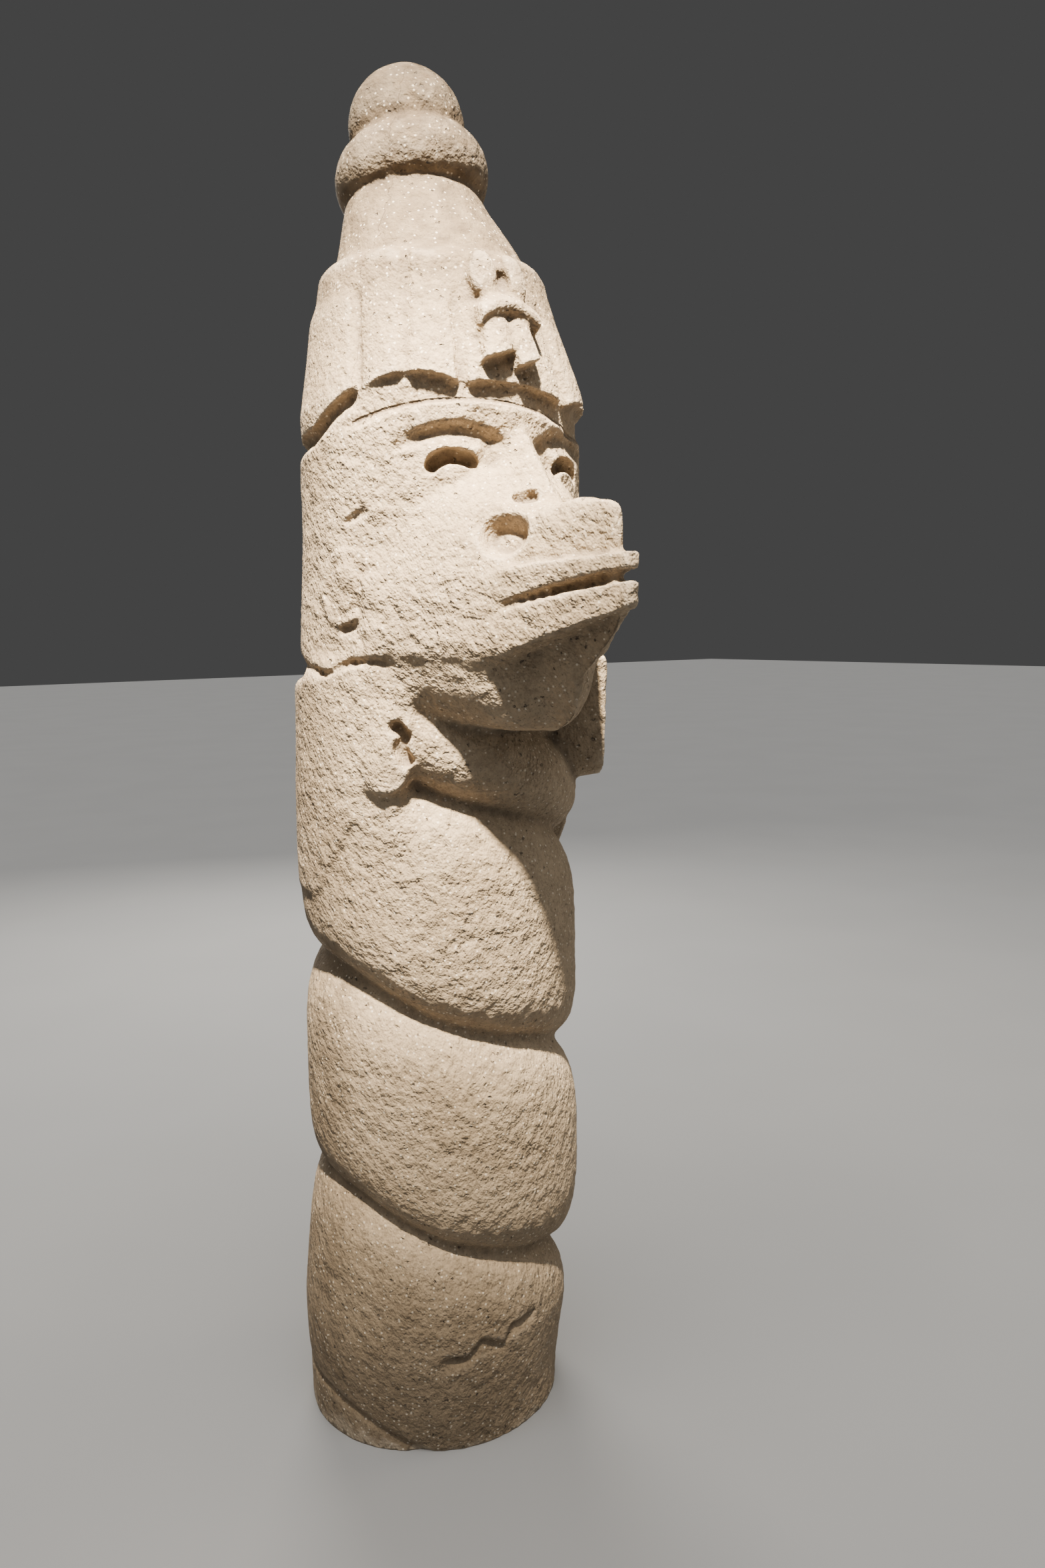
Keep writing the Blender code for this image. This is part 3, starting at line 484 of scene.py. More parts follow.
def crown_relief(angle, z):
    """Pleats, side panels and front flare of the crown."""
    side = np.abs(wrap(angle))
    down = ease(CROWN_TOP_Z, CROWN_RIM_Z, z)
    spread = np.where(side < RIM_FLARE_ANGLE, RIM_FLARE_FRONT, RIM_FLARE_SIDE)
    relief = RIM_FLARE * np.exp(-((side - RIM_FLARE_ANGLE) / spread) ** 2) * down
    for pleat, top in zip(PLEAT_ANGLES, PLEAT_TOPS):
        across = along(side - pleat - PLEAT_SLANT * (z - CROWN_RIM_Z) * (pleat == PLEAT_ANGLES[2]))
        open_below = PLEAT_OPENING * (pleat == PLEAT_ANGLES[0]) * ease(PLEAT_OPENING_Z, CROWN_RIM_Z, z)
        valley = PLEAT_DEPTH * (0.7 + open_below) * ease(top, top - 0.03, z)
        relief = relief - valley * np.exp(-(across / PLEAT_WIDTH) ** 2)
        relief = relief - 0.25 * PLEAT_DEPTH * np.exp(-(across / (4.0 * PLEAT_WIDTH)) ** 2)
    slant = PLEAT_ANGLES[2] + PLEAT_SLANT * (z - CROWN_RIM_Z)
    panel = PANEL_STEP * ease(slant, slant + 3.0, side) * ease(PANEL_TOP_Z, PANEL_TOP_Z - 0.035, z)
    below_top = ease(CROWN_TOP_Z - 0.04, CROWN_TOP_Z - 0.10, z)
    back_seam = PLEAT_DEPTH * np.exp(-(along(wrap(side - BACK_SEAM_ANGLE)) / PLEAT_WIDTH) ** 2) * below_top
    return relief + panel - back_seam


def dome(share):
    """Round cap: 1 in the middle, falling to 0 at the edge where share is 1."""
    return np.sqrt(np.clip(1.0 - share * share, 0.0, 1.0))


def knot_relief(angle, z):
    """Bow on the front of the crown: two round loops, an arched band and two hanging tails."""
    across = along(wrap(angle - KNOT_ANGLE))
    arch = KNOT_Z - BAND_DROP * (across / BAND_HALF_LENGTH) ** 2
    rise = np.zeros(np.broadcast(angle, z).shape)
    for side, width in ((-1.0, TAIL_WIDTHS[0]), (1.0, TAIL_WIDTHS[1])):
        outward = side * across
        loop = np.hypot(outward / LOOP_HALF_WIDTH - 0.95, (z - LOOP_Z) / LOOP_HALF_HEIGHT)
        rise = np.maximum(rise, LOOP_RISE * dome(loop) ** 0.6)
        flare = width + TAIL_FLARE * (KNOT_Z - z)
        low = KNOT_Z - TAIL_LENGTH + 0.005 * side - TAIL_SLANT * (across - 0.5 * side * width)
        rounded = dome(np.clip(2.0 * outward / flare - 1.0, -1.0, 1.0)) ** 0.4
        hanging = ease(low - 0.003, low + 0.003, z) * (z < arch) * (outward > 0.0)
        rise = np.maximum(rise, (TAIL_RISE + TAIL_SLOPE * (KNOT_Z - z)) * rounded * hanging)
    ends = ease(1.12, 0.92, np.abs(across) / BAND_HALF_LENGTH)
    band = dome(np.clip((z - arch) / BAND_HALF_HEIGHT, -1.0, 1.0)) ** 0.7
    rise = np.maximum(rise, BAND_RISE * band * ends)
    slit = oval(angle, z, KNOT_ANGLE - 1.0, LOOP_Z - 0.006, SLIT_HALF_WIDTH, SLIT_HALF_HEIGHT)
    return rise - (rise + 0.004) * ease(1.1, 0.6, slit)


def jaw_height(angle):
    """Lower edge of the mask, from the ears down to the chin."""
    side = np.abs(wrap(angle))
    front = JAW_RISE * ease(8.0, JAW_EAR_ANGLE, side)
    return JAW_Z + front - JAW_EAR_DROP * ease(JAW_EAR_ANGLE, JAW_EAR_ANGLE + 12.0, side)


def face_relief(angle, z):
    """Brows, lids and eye slots on the mask."""
    side = np.abs(wrap(angle))
    arch = EYE_Z + BROW_RISE - BROW_SAG * ((side - EYE_ANGLE + 1.0) / BROW_HALF_SPAN) ** 2
    foot = EYE_Z + EYE_HALF_HEIGHT
    taper = np.clip((arch - foot) / 0.030, 0.0, 1.0)
    above = ease(arch + 0.010, arch - 0.013, z)
    brow = -BROW_DEPTH * taper * above * ease(foot - 0.002, arch - 0.004, z)
    slot = oval(side, z, EYE_ANGLE, EYE_Z + 0.003, EYE_HALF_WIDTH, EYE_HALF_HEIGHT)
    lid = oval(side, z, EYE_ANGLE - 0.6, EYE_Z - 0.014, 0.90 * EYE_HALF_WIDTH, 0.96 * EYE_HALF_HEIGHT)
    eye = -EYE_DEPTH * ease(1.03, 0.86, slot) * ease(0.88, 1.08, lid)
    corner = oval(side, z, EYE_CORNER_ANGLE, EYE_Z + 0.012, 0.6 * EYE_HALF_WIDTH, 1.5 * EYE_HALF_HEIGHT)
    return brow + eye - EYE_CORNER_DEPTH * ease(1.0, 0.4, corner)


def ear_relief(angle, z):
    """Ringed ear ornament on each side of the head, with its slot above."""
    side = np.abs(wrap(angle))
    disc = oval(side, z, EAR_ANGLE, EAR_Z, EAR_RADIUS * 0.92, EAR_RADIUS)
    relief = EAR_STEP * ease(1.04, 0.92, disc)
    relief = relief - EAR_RING_DEPTH * np.exp(-((disc - 0.62) / 0.10) ** 2)
    boss = oval(side, z, EAR_ANGLE, EAR_Z + 0.022, 0.022, 0.026)
    relief = relief + EAR_RING_DEPTH * ease(1.1, 0.8, boss)
    hook = [(EAR_ANGLE + 0.5 - 4.0 * k, EAR_Z - EAR_RADIUS * (1.00 - 0.0437 * k * k)) for k in range(5)]
    relief = relief - EAR_HOOK_DEPTH * ease(0.008, 0.002, path_distance(side, z, hook))
    slot = [(EAR_ANGLE - 1.0, EAR_Z + 0.099), (EAR_ANGLE - 9.0, EAR_Z + 0.113)]
    return relief - EAR_SLOT_DEPTH * ease(0.007, 0.001, path_distance(side, z, slot))


def with_pendants(radius, angle, z):
    """Radius with the tongues over the collar: worn into the flap on the right, proud on the left."""
    across = along(np.abs(wrap(angle)) - PENDANT_ANGLE)
    below = np.minimum(z - PENDANT_TIP_Z - PENDANT_HALF_WIDTH, 0.0)
    proud = PROUD_PENDANT_RADIUS - PENDANT_SLOPE * across / PENDANT_HALF_WIDTH
    proud_edge = PENDANT_HALF_WIDTH - np.hypot(across, below)
    proud_outline = ease(0.0, 0.010, proud_edge) * ease(PENDANT_TOP_Z + 0.018, PENDANT_TOP_Z - 0.002, z)
    bulge = PENDANT_RISE * ease(1.28, 1.16, z) * ease(1.3, 0.0, np.abs(across) / PENDANT_HALF_WIDTH)
    worn = FLAP_RADIUS - 0.003 + bulge
    worn_edge = PENDANT_HALF_WIDTH - np.hypot(np.where(across > 0.0, 0.7 * across, across), below)
    worn_outline = ease(0.0, 0.011, worn_edge) * ease(PENDANT_TOP_Z + 0.050, PENDANT_TOP_Z, z)
    tongue = np.where(angle > 0.0, worn, proud)
    outline = np.where(angle > 0.0, worn_outline, proud_outline)
    beside = ease(38.0, 50.0, angle) * ease(66.0, 60.0, angle)
    filled = beside * ease(1.00, 1.07, z) * ease(1.17, 1.15, z)
    radius = radius + (FLAP_RADIUS - 0.002 - radius) * filled
    recess = PENDANT_RECESS * ease(0.012, 0.003, path_distance(angle, z, PENDANT_RECESS_PATH))
    return radius + np.maximum(tongue - radius, 0.0) * outline - recess


def flap_rise(angle, z):
    """Plain flap that hangs from the head down the back."""
    side = np.abs(wrap(angle))
    lower = FLAP_TIP_Z + FLAP_SLANT * ease(FLAP_ANGLE, FLAP_START_ANGLE, side)
    sideways = ease(FLAP_START_ANGLE - 4.0, FLAP_START_ANGLE + 8.0, side)
    return sideways * ease(lower - 0.012, lower + 0.008, z)


def break_depth(angle, z):
    """Mended break through the neck, seen as an uneven line round the sides and back."""
    side = np.abs(wrap(angle))
    wander = 0.005 * np.sin(np.radians(angle * 5.0)) + 0.003 * np.sin(np.radians(angle * 11.0 + 40.0))
    dip = BREAK_DIP * np.exp(-((angle - BREAK_DIP_ANGLE) / 7.0) ** 2)
    line = BREAK_Z + wander + BREAK_FRONT_RISE * ease(80.0, 54.0, side) - dip
    uneven = (0.75 + 0.25 * np.sin(np.radians(angle * 23.0))) * ease(48.0, 51.0, side)
    crack = CRACK_DEPTH * uneven * ease(CRACK_WIDTH, 0.2 * CRACK_WIDTH, np.abs(z - line))
    notch = np.exp(-((z - BREAK_Z) / NOTCH_HALF_HEIGHT) ** 2 - ((angle - NOTCH_ANGLE) / NOTCH_SPREAD) ** 2)
    spot = BREAK_SPOT_DEPTH * ease(0.012, 0.004, path_distance(angle, z, BREAK_SPOT))
    return np.maximum(crack, NOTCH_DEPTH * notch) + spot


def foot_crack_depth(angle, z):
    """Old chip across the lowest coil: a stepped ledge with a sharp upper edge that fades out below."""
    line = np.interp(angle, CHIP_ANGLES, CHIP_HEIGHTS)
    start = ease(CHIP_ANGLES[0] - 3.0, CHIP_ANGLES[0] + 3.0, angle)
    end = ease(CHIP_ANGLES[-1] + 3.0, CHIP_ANGLES[-1] - 3.0, angle)
    ledge = ease(line + 0.003, line - 0.003, z) * ease(line - CHIP_FADE, line - 0.004, z)
    return CHIP_LEDGE * ledge * start * end


def headband_height(angle):
    """Height of the line cut round the forehead under the crown."""
    across = np.clip(wrap(angle - HEADBAND_ANGLE) / HEADBAND_REACH, -1.0, 1.0)
    return HEADBAND_Z - HEADBAND_DROP * across ** 2


def head_radius(angle, z):
    """Radius of the mask and the back of the head, with the recessed headband."""
    side = np.abs(wrap(angle))
    head = HEAD_RADIUS + NECK_SWELL * ease(1.52, 1.27, z)
    band = headband_height(angle)
    front = ease(80.0, 62.0, side)
    head = head - HEADBAND_STEP * ease(band - 0.003, band + 0.004, z) * front
    return head + face_relief(angle, z) + ear_relief(angle, z)


def column_radius(angle, z):
    """Outer radius of the carved column at an angle and a height."""
    radius = coil_radius(angle, z)
    above_jaw = ease(-0.016, 0.026, z - jaw_height(angle))
    radius = np.maximum(radius, NECK_RADIUS + (head_radius(angle, z) - NECK_RADIUS) * above_jaw)
    flap = flap_rise(angle, z) * ease(FLAP_FADE_Z[0], FLAP_FADE_Z[1], z)
    radius = radius + (FLAP_RADIUS - radius) * flap
    radius = with_pendants(radius, angle, z)
    radius = radius - break_depth(angle, z) - foot_crack_depth(angle, z)
    crown = crown_radius(z) + crown_relief(angle, z) + knot_relief(angle, z)
    rim = rim_height(angle)
    over_ear = ease(RIM_SIDE_START, RIM_SIDE_START + 8.0, np.abs(wrap(angle)))
    under_rim = ease(rim - 0.034, rim - 0.010, z) * over_ear
    radius = np.where(z > rim, crown, radius - RIM_UNDERCUT * under_rim)
    cone = CONE_BASE_RADIUS - CONE_SLOPE * (z - CROWN_TOP_Z)
    return np.where(z > CROWN_TOP_Z, cone, radius)


def add_mesh(name, vertices, faces):
    """Mesh object from computed points."""
    mesh = bpy.data.meshes.new(name)
    mesh.from_pydata(vertices, [], faces)
    mesh.update()
    piece = bpy.data.objects.new(name, mesh)
    bpy.context.scene.collection.objects.link(piece)
    return piece


def skin_rings(name, rings):
    """Closed skin over rings that all have the same number of points."""
    count = len(rings[0])
    vertices = [tuple(point) for ring in rings for point in ring]
    faces = []
    for row in range(len(rings) - 1):
        for k in range(count):
            after = (k + 1) % count
            below = row * count
            above = below + count
            faces.append((below + k, below + after, above + after, above + k))
    faces.append(tuple(reversed(range(count))))
    last = (len(rings) - 1) * count
    faces.append(tuple(last + k for k in range(count)))
    return add_mesh(name, vertices, faces)


def make_column():
    """The column from under the floor line to the top of the cone."""
    top = RING_CENTRE_Z + 0.03
    rows = int((top + SINK) / FINE_ROW_HEIGHT)
    z = np.linspace(-SINK, top, rows)[:, None]
    angle = np.linspace(-180.0, 180.0, FINE_RING_STEPS, endpoint=False)[None, :]
    radius = column_radius(angle, z)
    x = centre_x(z) - radius * np.sin(np.radians(angle))
    y = centre_y(z) - radius * np.cos(np.radians(angle))
    grid = np.stack([x, y, np.broadcast_to(z, x.shape)], axis=-1)
    return skin_rings("column", [list(ring[::-1]) for ring in grid])


def make_knob():
    """Knob and ring of the hat, leaning back."""
    bpy.ops.mesh.primitive_uv_sphere_add(segments=64, ring_count=32, radius=1.0)
    knob = bpy.context.object
    knob.scale = (KNOB_RADIUS, KNOB_RADIUS, KNOB_HALF_HEIGHT)
    knob.location = (-KNOB_SHIFT, centre_y(RING_CENTRE_Z) + KNOB_SHIFT, KNOB_CENTRE_Z)
    bpy.ops.mesh.primitive_torus_add(
        major_radius=RING_RADIUS - RING_TUBE, minor_radius=RING_TUBE, major_segments=96, minor_segments=24)
    ring = bpy.context.object
    ring.scale = (1.0, 1.0, RING_HALF_HEIGHT / RING_TUBE)
    ring.rotation_euler = (math.radians(-HAT_TILT), 0.0, 0.0)
    ring.location = (0.0, centre_y(RING_CENTRE_Z), RING_CENTRE_Z)
    return [knob, ring]


def power_ring(half, middle, up, down, power_up, power_down, y):
    """Ring of points in an upright plane: a rounded outline with its own upper and lower half."""
    ring = []
    for turn in np.linspace(0.0, 2.0 * math.pi, BEAK_SIDES, endpoint=False):
        c = math.cos(turn)
        s = math.sin(turn)
        power = power_up if s >= 0.0 else power_down
        x = half * math.copysign(abs(c) ** (2.0 / power), c)
        z = (up if s >= 0.0 else down) * math.copysign(abs(s) ** (2.0 / power), s)
        ring.append((x, y, middle + z))
    return ring


def muzzle_half(y):
    """Half width of the muzzle: its sides run straight from the cheeks to the tip."""
    return max(MUZZLE_ROOT_HALF + MUZZLE_TAPER * min(y - MUZZLE_ROOT_Y, 0.0), 0.010)


def tip_rounding(y, tip):
    """1 along the beak, falling to 0 in its last few centimetres."""
    return math.sqrt(max(0.0, 1.0 - max(0.0, 1.0 - (y - tip) / TIP_ROUNDING) ** 2))


def mouth_share(y):
    """0 at the mouth's corner, 1 at the tip."""
    return min(max((MOUTH_CORNER_Y - y) / (MOUTH_CORNER_Y - BEAK_TIP_Y), 0.0), 1.0)


def chin_height(y):
    """Underside of the jaw, rising from the chin to the tip."""
    turn = min(max((CHIN_TURN_Y - y) / CHIN_ROUNDING, 0.0), 1.0)
    rounded = CHIN_Z + CHIN_ROUNDING * (1.0 - math.sqrt(1.0 - turn * turn))
    return rounded + CHIN_SLOPE * max(CHIN_TURN_Y - CHIN_ROUNDING - y, 0.0)


def snout_height(y):
    """Top of the muzzle, from the cheeks down to the snout."""
    bump = SNOUT_BUMP * math.exp(-((y - SNOUT_BUMP_Y) / 0.018) ** 2)
    dip = SNOUT_DIP * float(ease(SNOUT_TIP_Y + 0.034, SNOUT_TIP_Y + 0.004, y))
    return SNOUT_TOP_Z + SNOUT_CHEEK_RISE * float(ease(-0.375, -0.220, y)) + bump - dip


def make_muzzle():
    """Core of the muzzle: snout above, chin below, both inside the lips."""
    rings = []
    middle = LIP_TOP_Z - 0.02
    for y in np.linspace(BEAK_ROOT_Y, SNOUT_TIP_Y, BEAK_ROWS):
        inset = 0.001 + CHANNEL_DEPTH * float(ease(MOUTH_CORNER_Y + 0.012, MOUTH_CORNER_Y - 0.030, y))
        tip = 0.35 + 0.65 * tip_rounding(y, SNOUT_TIP_Y)
        half = max(muzzle_half(y) - inset, 0.012) * tip
        blocky = 2.2 + 2.8 * float(ease(-0.33, -0.42, y))
        jowl = 3.4 - 2.2 * float(ease(-0.290, -0.365, y))
        up = (snout_height(y) - middle) * (0.6 + 0.4 * tip)
        down = (middle - chin_height(y)) * (0.8 + 0.2 * tip)
        rings.append(power_ring(half, middle, up, down, blocky, jowl, float(y)))
    return skin_rings("muzzle", rings)


def make_lip(name, low, high):
    """One lip: a band round the muzzle whose edges are functions of y."""
    rings = []
    for y in np.linspace(BEAK_ROOT_Y, BEAK_TIP_Y, BEAK_ROWS):
        tip = tip_rounding(y, BEAK_TIP_Y)
        half = (muzzle_half(y) + LIP_PROUD) * (0.15 + 0.85 * tip)
        middle = 0.5 * (high(y) + low(y))
        tall = (high(y) - middle) * (0.75 + 0.25 * tip)
        rings.append(power_ring(half, middle, tall, tall, LIP_SQUARENESS, LIP_SQUARENESS, float(y)))
    return skin_rings(name, rings)


def upper_lip_low(y):
    """Lower edge of the upper lip."""
    rise = UPPER_LIP_RISE * (1.0 - (1.0 - mouth_share(y)) ** 1.6)
    return MOUTH_Z + rise - LIP_ROOT_OVERLAP * (y > MOUTH_CORNER_Y)


def upper_lip_high(y):
    """Upper edge of the upper lip."""
    return LIP_TOP_Z + UPPER_LIP_LIFT * mouth_share(y)


def lower_lip_high(y):
    """Upper edge of the lower lip."""
    share = mouth_share(y)
    arch = LOWER_LIP_ARCH * share * (1.0 - share)
    return MOUTH_Z + LOWER_LIP_RISE * share + arch + LIP_ROOT_OVERLAP * (y > MOUTH_CORNER_Y)


def lower_lip_low(y):
    """Lower edge of the lower lip, rising to the tip."""
    return LOWER_LIP_Z + LOWER_LIP_LIFT * mouth_share(y) ** 0.8


def make_nose():
    """Nose: a ridge that comes forward from the brow down to the snout."""
    rings = []
    for share in np.linspace(-0.12, 1.15, 20):
        z = NOSE_TOP_Z - share * (NOSE_TOP_Z - NOSE_TIP_Z)
        reach = NOSE_BACK_Y - NOSE_FRONT_Y + NOSE_REACH * share
        half = NOSE_HALF_WIDTH * (0.50 + 0.50 * min(max(share, 0.0), 1.0))
        ring = []
        for turn in np.linspace(0.0, 2.0 * math.pi, BEAK_SIDES, endpoint=False):
            c = math.cos(turn)
            s = math.sin(turn)
            x = half * math.copysign(abs(c) ** NOSE_SQUARENESS, c)
            y = NOSE_BACK_Y - reach * math.copysign(abs(s) ** NOSE_SQUARENESS, s)
            ring.append((x, y, z))
        rings.append(ring)
    return skin_rings("nose", rings)


def make_beak():
    """Muzzle, nose and the two lips with the channel between them."""
    return [
        make_muzzle(),
        make_nose(),
        make_lip("upper_lip", upper_lip_low, upper_lip_high),
        make_lip("lower_lip", lower_lip_low, lower_lip_high),
    ]


def bake(piece):
    """Replace a piece's mesh by the result of its modifiers."""
    depsgraph = bpy.context.evaluated_depsgraph_get()
    mesh = bpy.data.meshes.new_from_object(piece.evaluated_get(depsgraph))
    piece.modifiers.clear()
    piece.data = mesh
    return piece


def merge(pieces, name):
    """One body from overlapping closed pieces."""
    whole = bmesh.new()
    for piece in pieces:
        part = bmesh.new()
        part.from_mesh(piece.data)
        bmesh.ops.transform(part, matrix=piece.matrix_basis, verts=part.verts)
        bmesh.ops.recalc_face_normals(part, faces=part.faces)
        mesh = bpy.data.meshes.new("piece")
        part.to_mesh(mesh)
        part.free()
        whole.from_mesh(mesh)
        bpy.data.meshes.remove(mesh)
        bpy.data.objects.remove(piece, do_unlink=True)
    joined = bpy.data.meshes.new(name)
    whole.to_mesh(joined)
    whole.free()
    body = bpy.data.objects.new(name, joined)
    bpy.context.scene.collection.objects.link(body)
    carve = body.modifiers.new("Carve", "REMESH")
    carve.mode = "VOXEL"
    carve.voxel_size = FINE_CELL
    return bake(body)


def vertex_points(body):
    """Vertex positions and normals of a body as arrays."""
    count = len(body.data.vertices)
    points = np.empty(count * 3)
    normals = np.empty(count * 3)
    body.data.vertices.foreach_get("co", points)
    body.data.vertices.foreach_get("normal", normals)
    return points.reshape(count, 3), normals.reshape(count, 3)


def soften_cheeks(body):
    """Blend the muzzle into the cheeks and the jaw into the neck."""
    x, y, z = vertex_points(body)[0].T
    weight = ease(MOUTH_CORNER_Y - 0.02, MOUTH_CORNER_Y + 0.04, y) * ease(-0.165, -0.20, y)
    weight = weight * ease(0.02, 0.05, np.abs(x))
    weight = weight * ease(1.22, 1.26, z) * ease(EYE_Z - 0.020, EYE_Z - 0.045, z)
    cheeks = body.vertex_groups.new(name="cheeks")
    for index in np.flatnonzero(weight > 0.0):
        cheeks.add([int(index)], float(weight[index]), "REPLACE")
    blend = body.modifiers.new("Blend", "SMOOTH")
    blend.factor = 0.5
    blend.iterations = int(CHEEK_BLEND / FINE_CELL ** 2)
    blend.vertex_group = "cheeks"
    return bake(body)


def press_nostrils(body):
    """Round pits beside the nose and a small hole above each, pressed in along the surface."""
    points, normals = vertex_points(body)
    sides = np.abs(points[:, 0])
    depth = np.zeros(len(points))
    for across, y, z, radius, deep in NOSTRIL_PITS:
        far = np.sqrt((sides - across) ** 2 + (points[:, 1] - y) ** 2 + (points[:, 2] - z) ** 2)
        depth = np.maximum(depth, deep * ease(1.15, 0.55, far / radius))
    moved = points - normals * depth[:, None]
    body.data.vertices.foreach_set("co", moved.ravel())
    body.data.update()
    return body


def reduce_facets(body, budget):
    """Fewer, larger facets with the same form."""
    body.data.calc_loop_triangles()
    thin = body.modifiers.new("Reduce", "DECIMATE")
    thin.ratio = min(1.0, budget / len(body.data.loop_triangles))
    return bake(body)


def cut_flat(body):
    """Cut the foot off flat at z = 0 and close it."""
    work = bmesh.new()
    work.from_mesh(body.data)
    geometry = work.verts[:] + work.edges[:] + work.faces[:]
    bmesh.ops.bisect_plane(
        work,
        geom=geometry,
        dist=1e-5,
        plane_co=(0.0, 0.0, 0.0),
        plane_no=(0.0, 0.0, 1.0),
        clear_inner=True,
    )
    rim = [edge for edge in work.edges if edge.is_boundary]
    bmesh.ops.contextual_create(work, geom=rim)
    bmesh.ops.triangulate(work, faces=work.faces[:])
    bmesh.ops.recalc_face_normals(work, faces=work.faces[:])
    work.to_mesh(body.data)
    work.free()
    return body


def lattice_noise(points, cell, seed):
    """Smooth noise from -1 to 1 at points, over cells of a given size."""
    table = np.random.default_rng(NOISE_SEED + seed).uniform(-1.0, 1.0, (NOISE_SIZE,) * 3)
    scaled = points / cell
    base = np.floor(scaled).astype(int)
    inside = scaled - base
    inside = inside * inside * (3.0 - 2.0 * inside)
    value = np.zeros(len(points))
    for corner in itertools.product((0, 1), repeat=3):
        near = (base + corner) % NOISE_SIZE
        share = np.where(np.array(corner, dtype=bool), inside, 1.0 - inside).prod(axis=1)
        value += share * table[near[:, 0], near[:, 1], near[:, 2]]
    return value


def smoothed_points(body, passes):
    """Vertex positions after a number of smoothing passes, with the body left as it is."""
    smooth = body.modifiers.new("Smooth", "SMOOTH")
    smooth.factor = 0.5
    smooth.iterations = passes
    depsgraph = bpy.context.evaluated_depsgraph_get()
    evaluated = body.evaluated_get(depsgraph)
    points = np.empty(len(body.data.vertices) * 3)
    evaluated.data.vertices.foreach_get("co", points)
    body.modifiers.remove(smooth)
    return points.reshape(-1, 3)


def move_points(body, points):
    """Give a body new vertex positions."""
    body.data.vertices.foreach_set("co", points.ravel())
    body.data.update()


def figure_angle(points):
    """Angle around the column in degrees, from the face towards the figure's right."""
    return np.degrees(np.arctan2(-points[:, 0], -points[:, 1]))


def roughness_mask(points):
    """1 on the freshly pecked front, less on the worn hat, the sides and the back."""
    angle = figure_angle(points)
    z = points[:, 2]
    side = ease(PECKED_FADE[0], PECKED_FADE[1], np.abs(wrap(angle - PECKED_MIDDLE)))
    worn = 0.55 * side + 0.45 * ease(CROWN_RIM_Z - 0.02, CROWN_RIM_Z + 0.02, z)
    return 1.0 - 0.8 * np.clip(worn, 0.0, 1.0)


def carve_surface(body):
    """Swell, dressing, peck marks and chipped edges, all taken off the smooth form."""
    points, normals = vertex_points(body)
    rough = roughness_mask(points)
    depth = SWELL_DEPTH * (0.5 + 0.5 * lattice_noise(points, SWELL_CELL, 1))
    depth += DRESSING_DEPTH * (0.5 + 0.5 * lattice_noise(points, DRESSING_CELL, 2)) * (0.35 + 0.65 * rough)
    depth += PECK_DEPTH * (0.5 + 0.5 * lattice_noise(points, PECK_CELL, 3)) * rough
    out = ((points - smoothed_points(body, EDGE_PASSES)) * normals).sum(axis=1)
    chips = ease(0.10, 0.55, lattice_noise(points, CHIP_CELL, 4)) * ease(0.0012, 0.0045, out)
    depth += CHIP_DEPTH * chips
    move_points(body, points - normals * depth[:, None])
    return body


def keep_in_box(body):
    """No point outside the solid's own box."""
    points = vertex_points(body)[0]
    low = np.array(CAD_BOX[0]) + BOX_MARGIN
    high = np.array(CAD_BOX[1]) - BOX_MARGIN
    low[2] = -SINK
    move_points(body, np.clip(points, low, high))
    return body


def add_attribute(body, name, values):
    """Store one number per vertex for the material."""
    layer = body.data.attributes.new(name, "FLOAT", "POINT")
    layer.data.foreach_set("value", np.clip(values, 0.0, 1.0))


def describe_surface(body):
    """Masks that the material reads: hollows (for painted shade), roughness, brown stain (with painted shade
    on the hat, knob and foot) and the line round the forehead.
    """
    points, normals = vertex_points(body)
    out = ((points - smoothed_points(body, HOLLOW_PASSES)) * normals).sum(axis=1)
    angle = figure_angle(points)
    z = points[:, 2]
    add_attribute(body, "hollow", 0.5 - out / HOLLOW_RANGE)
    add_attribute(body, "rough", roughness_mask(points))
    back = ease(BACK_STAIN_ANGLES[0], BACK_STAIN_ANGLES[1], np.abs(wrap(angle)))
    low = ease(BACK_STAIN_Z[0], BACK_STAIN_Z[1], z)
    cloud = 0.5 + 0.5 * lattice_noise(points, STAIN_CELL, 5)
    fine_cloud = 0.5 + 0.5 * lattice_noise(points, FINE_STAIN_CELL, 6)
    patina = BACK_STAIN * back * (0.35 + 0.65 * low) * (0.45 + 0.75 * cloud) * (0.55 + 0.65 * fine_cloud)
    # Hat, knob and foot: their stain together with painted shade, darker where less light reaches them
    hat = HAT_STAIN_AND_SHADE * ease(CROWN_RIM_Z, RING_CENTRE_Z - 0.14, z)
    knob = KNOB_STAIN_AND_SHADE * ease(RING_CENTRE_Z - 0.05, KNOB_CENTRE_Z, z)
    foot = FOOT_STAIN_AND_SHADE * ease(FOOT_STAIN_AND_SHADE_Z[0], FOOT_STAIN_AND_SHADE_Z[1], z)
    stain_and_shade = np.maximum(patina, (hat + knob + foot) * (0.65 + 0.55 * fine_cloud))
    add_attribute(body, "patina", stain_and_shade)
    front = ease(66.0, 52.0, np.abs(wrap(angle))) * (np.hypot(points[:, 0], points[:, 1]) < LINE_REACH)
    above_line = 0.5 + (z - headband_height(angle)) / LINE_RANGE
    add_attribute(body, "headband", np.where(front > 0.5, above_line, 0.0))


def build_stone():
    """The whole carving on the fine grid."""
    pieces = [make_column()] + make_knob() + make_beak()
    body = merge(pieces, "carved_stone")
    body = press_nostrils(soften_cheeks(body))
    body = keep_in_box(carve_surface(body))
    body = reduce_facets(body, FINE_TRIANGLES)
    body = cut_flat(body)
    describe_surface(body)
    body.data.shade_smooth()
    return body


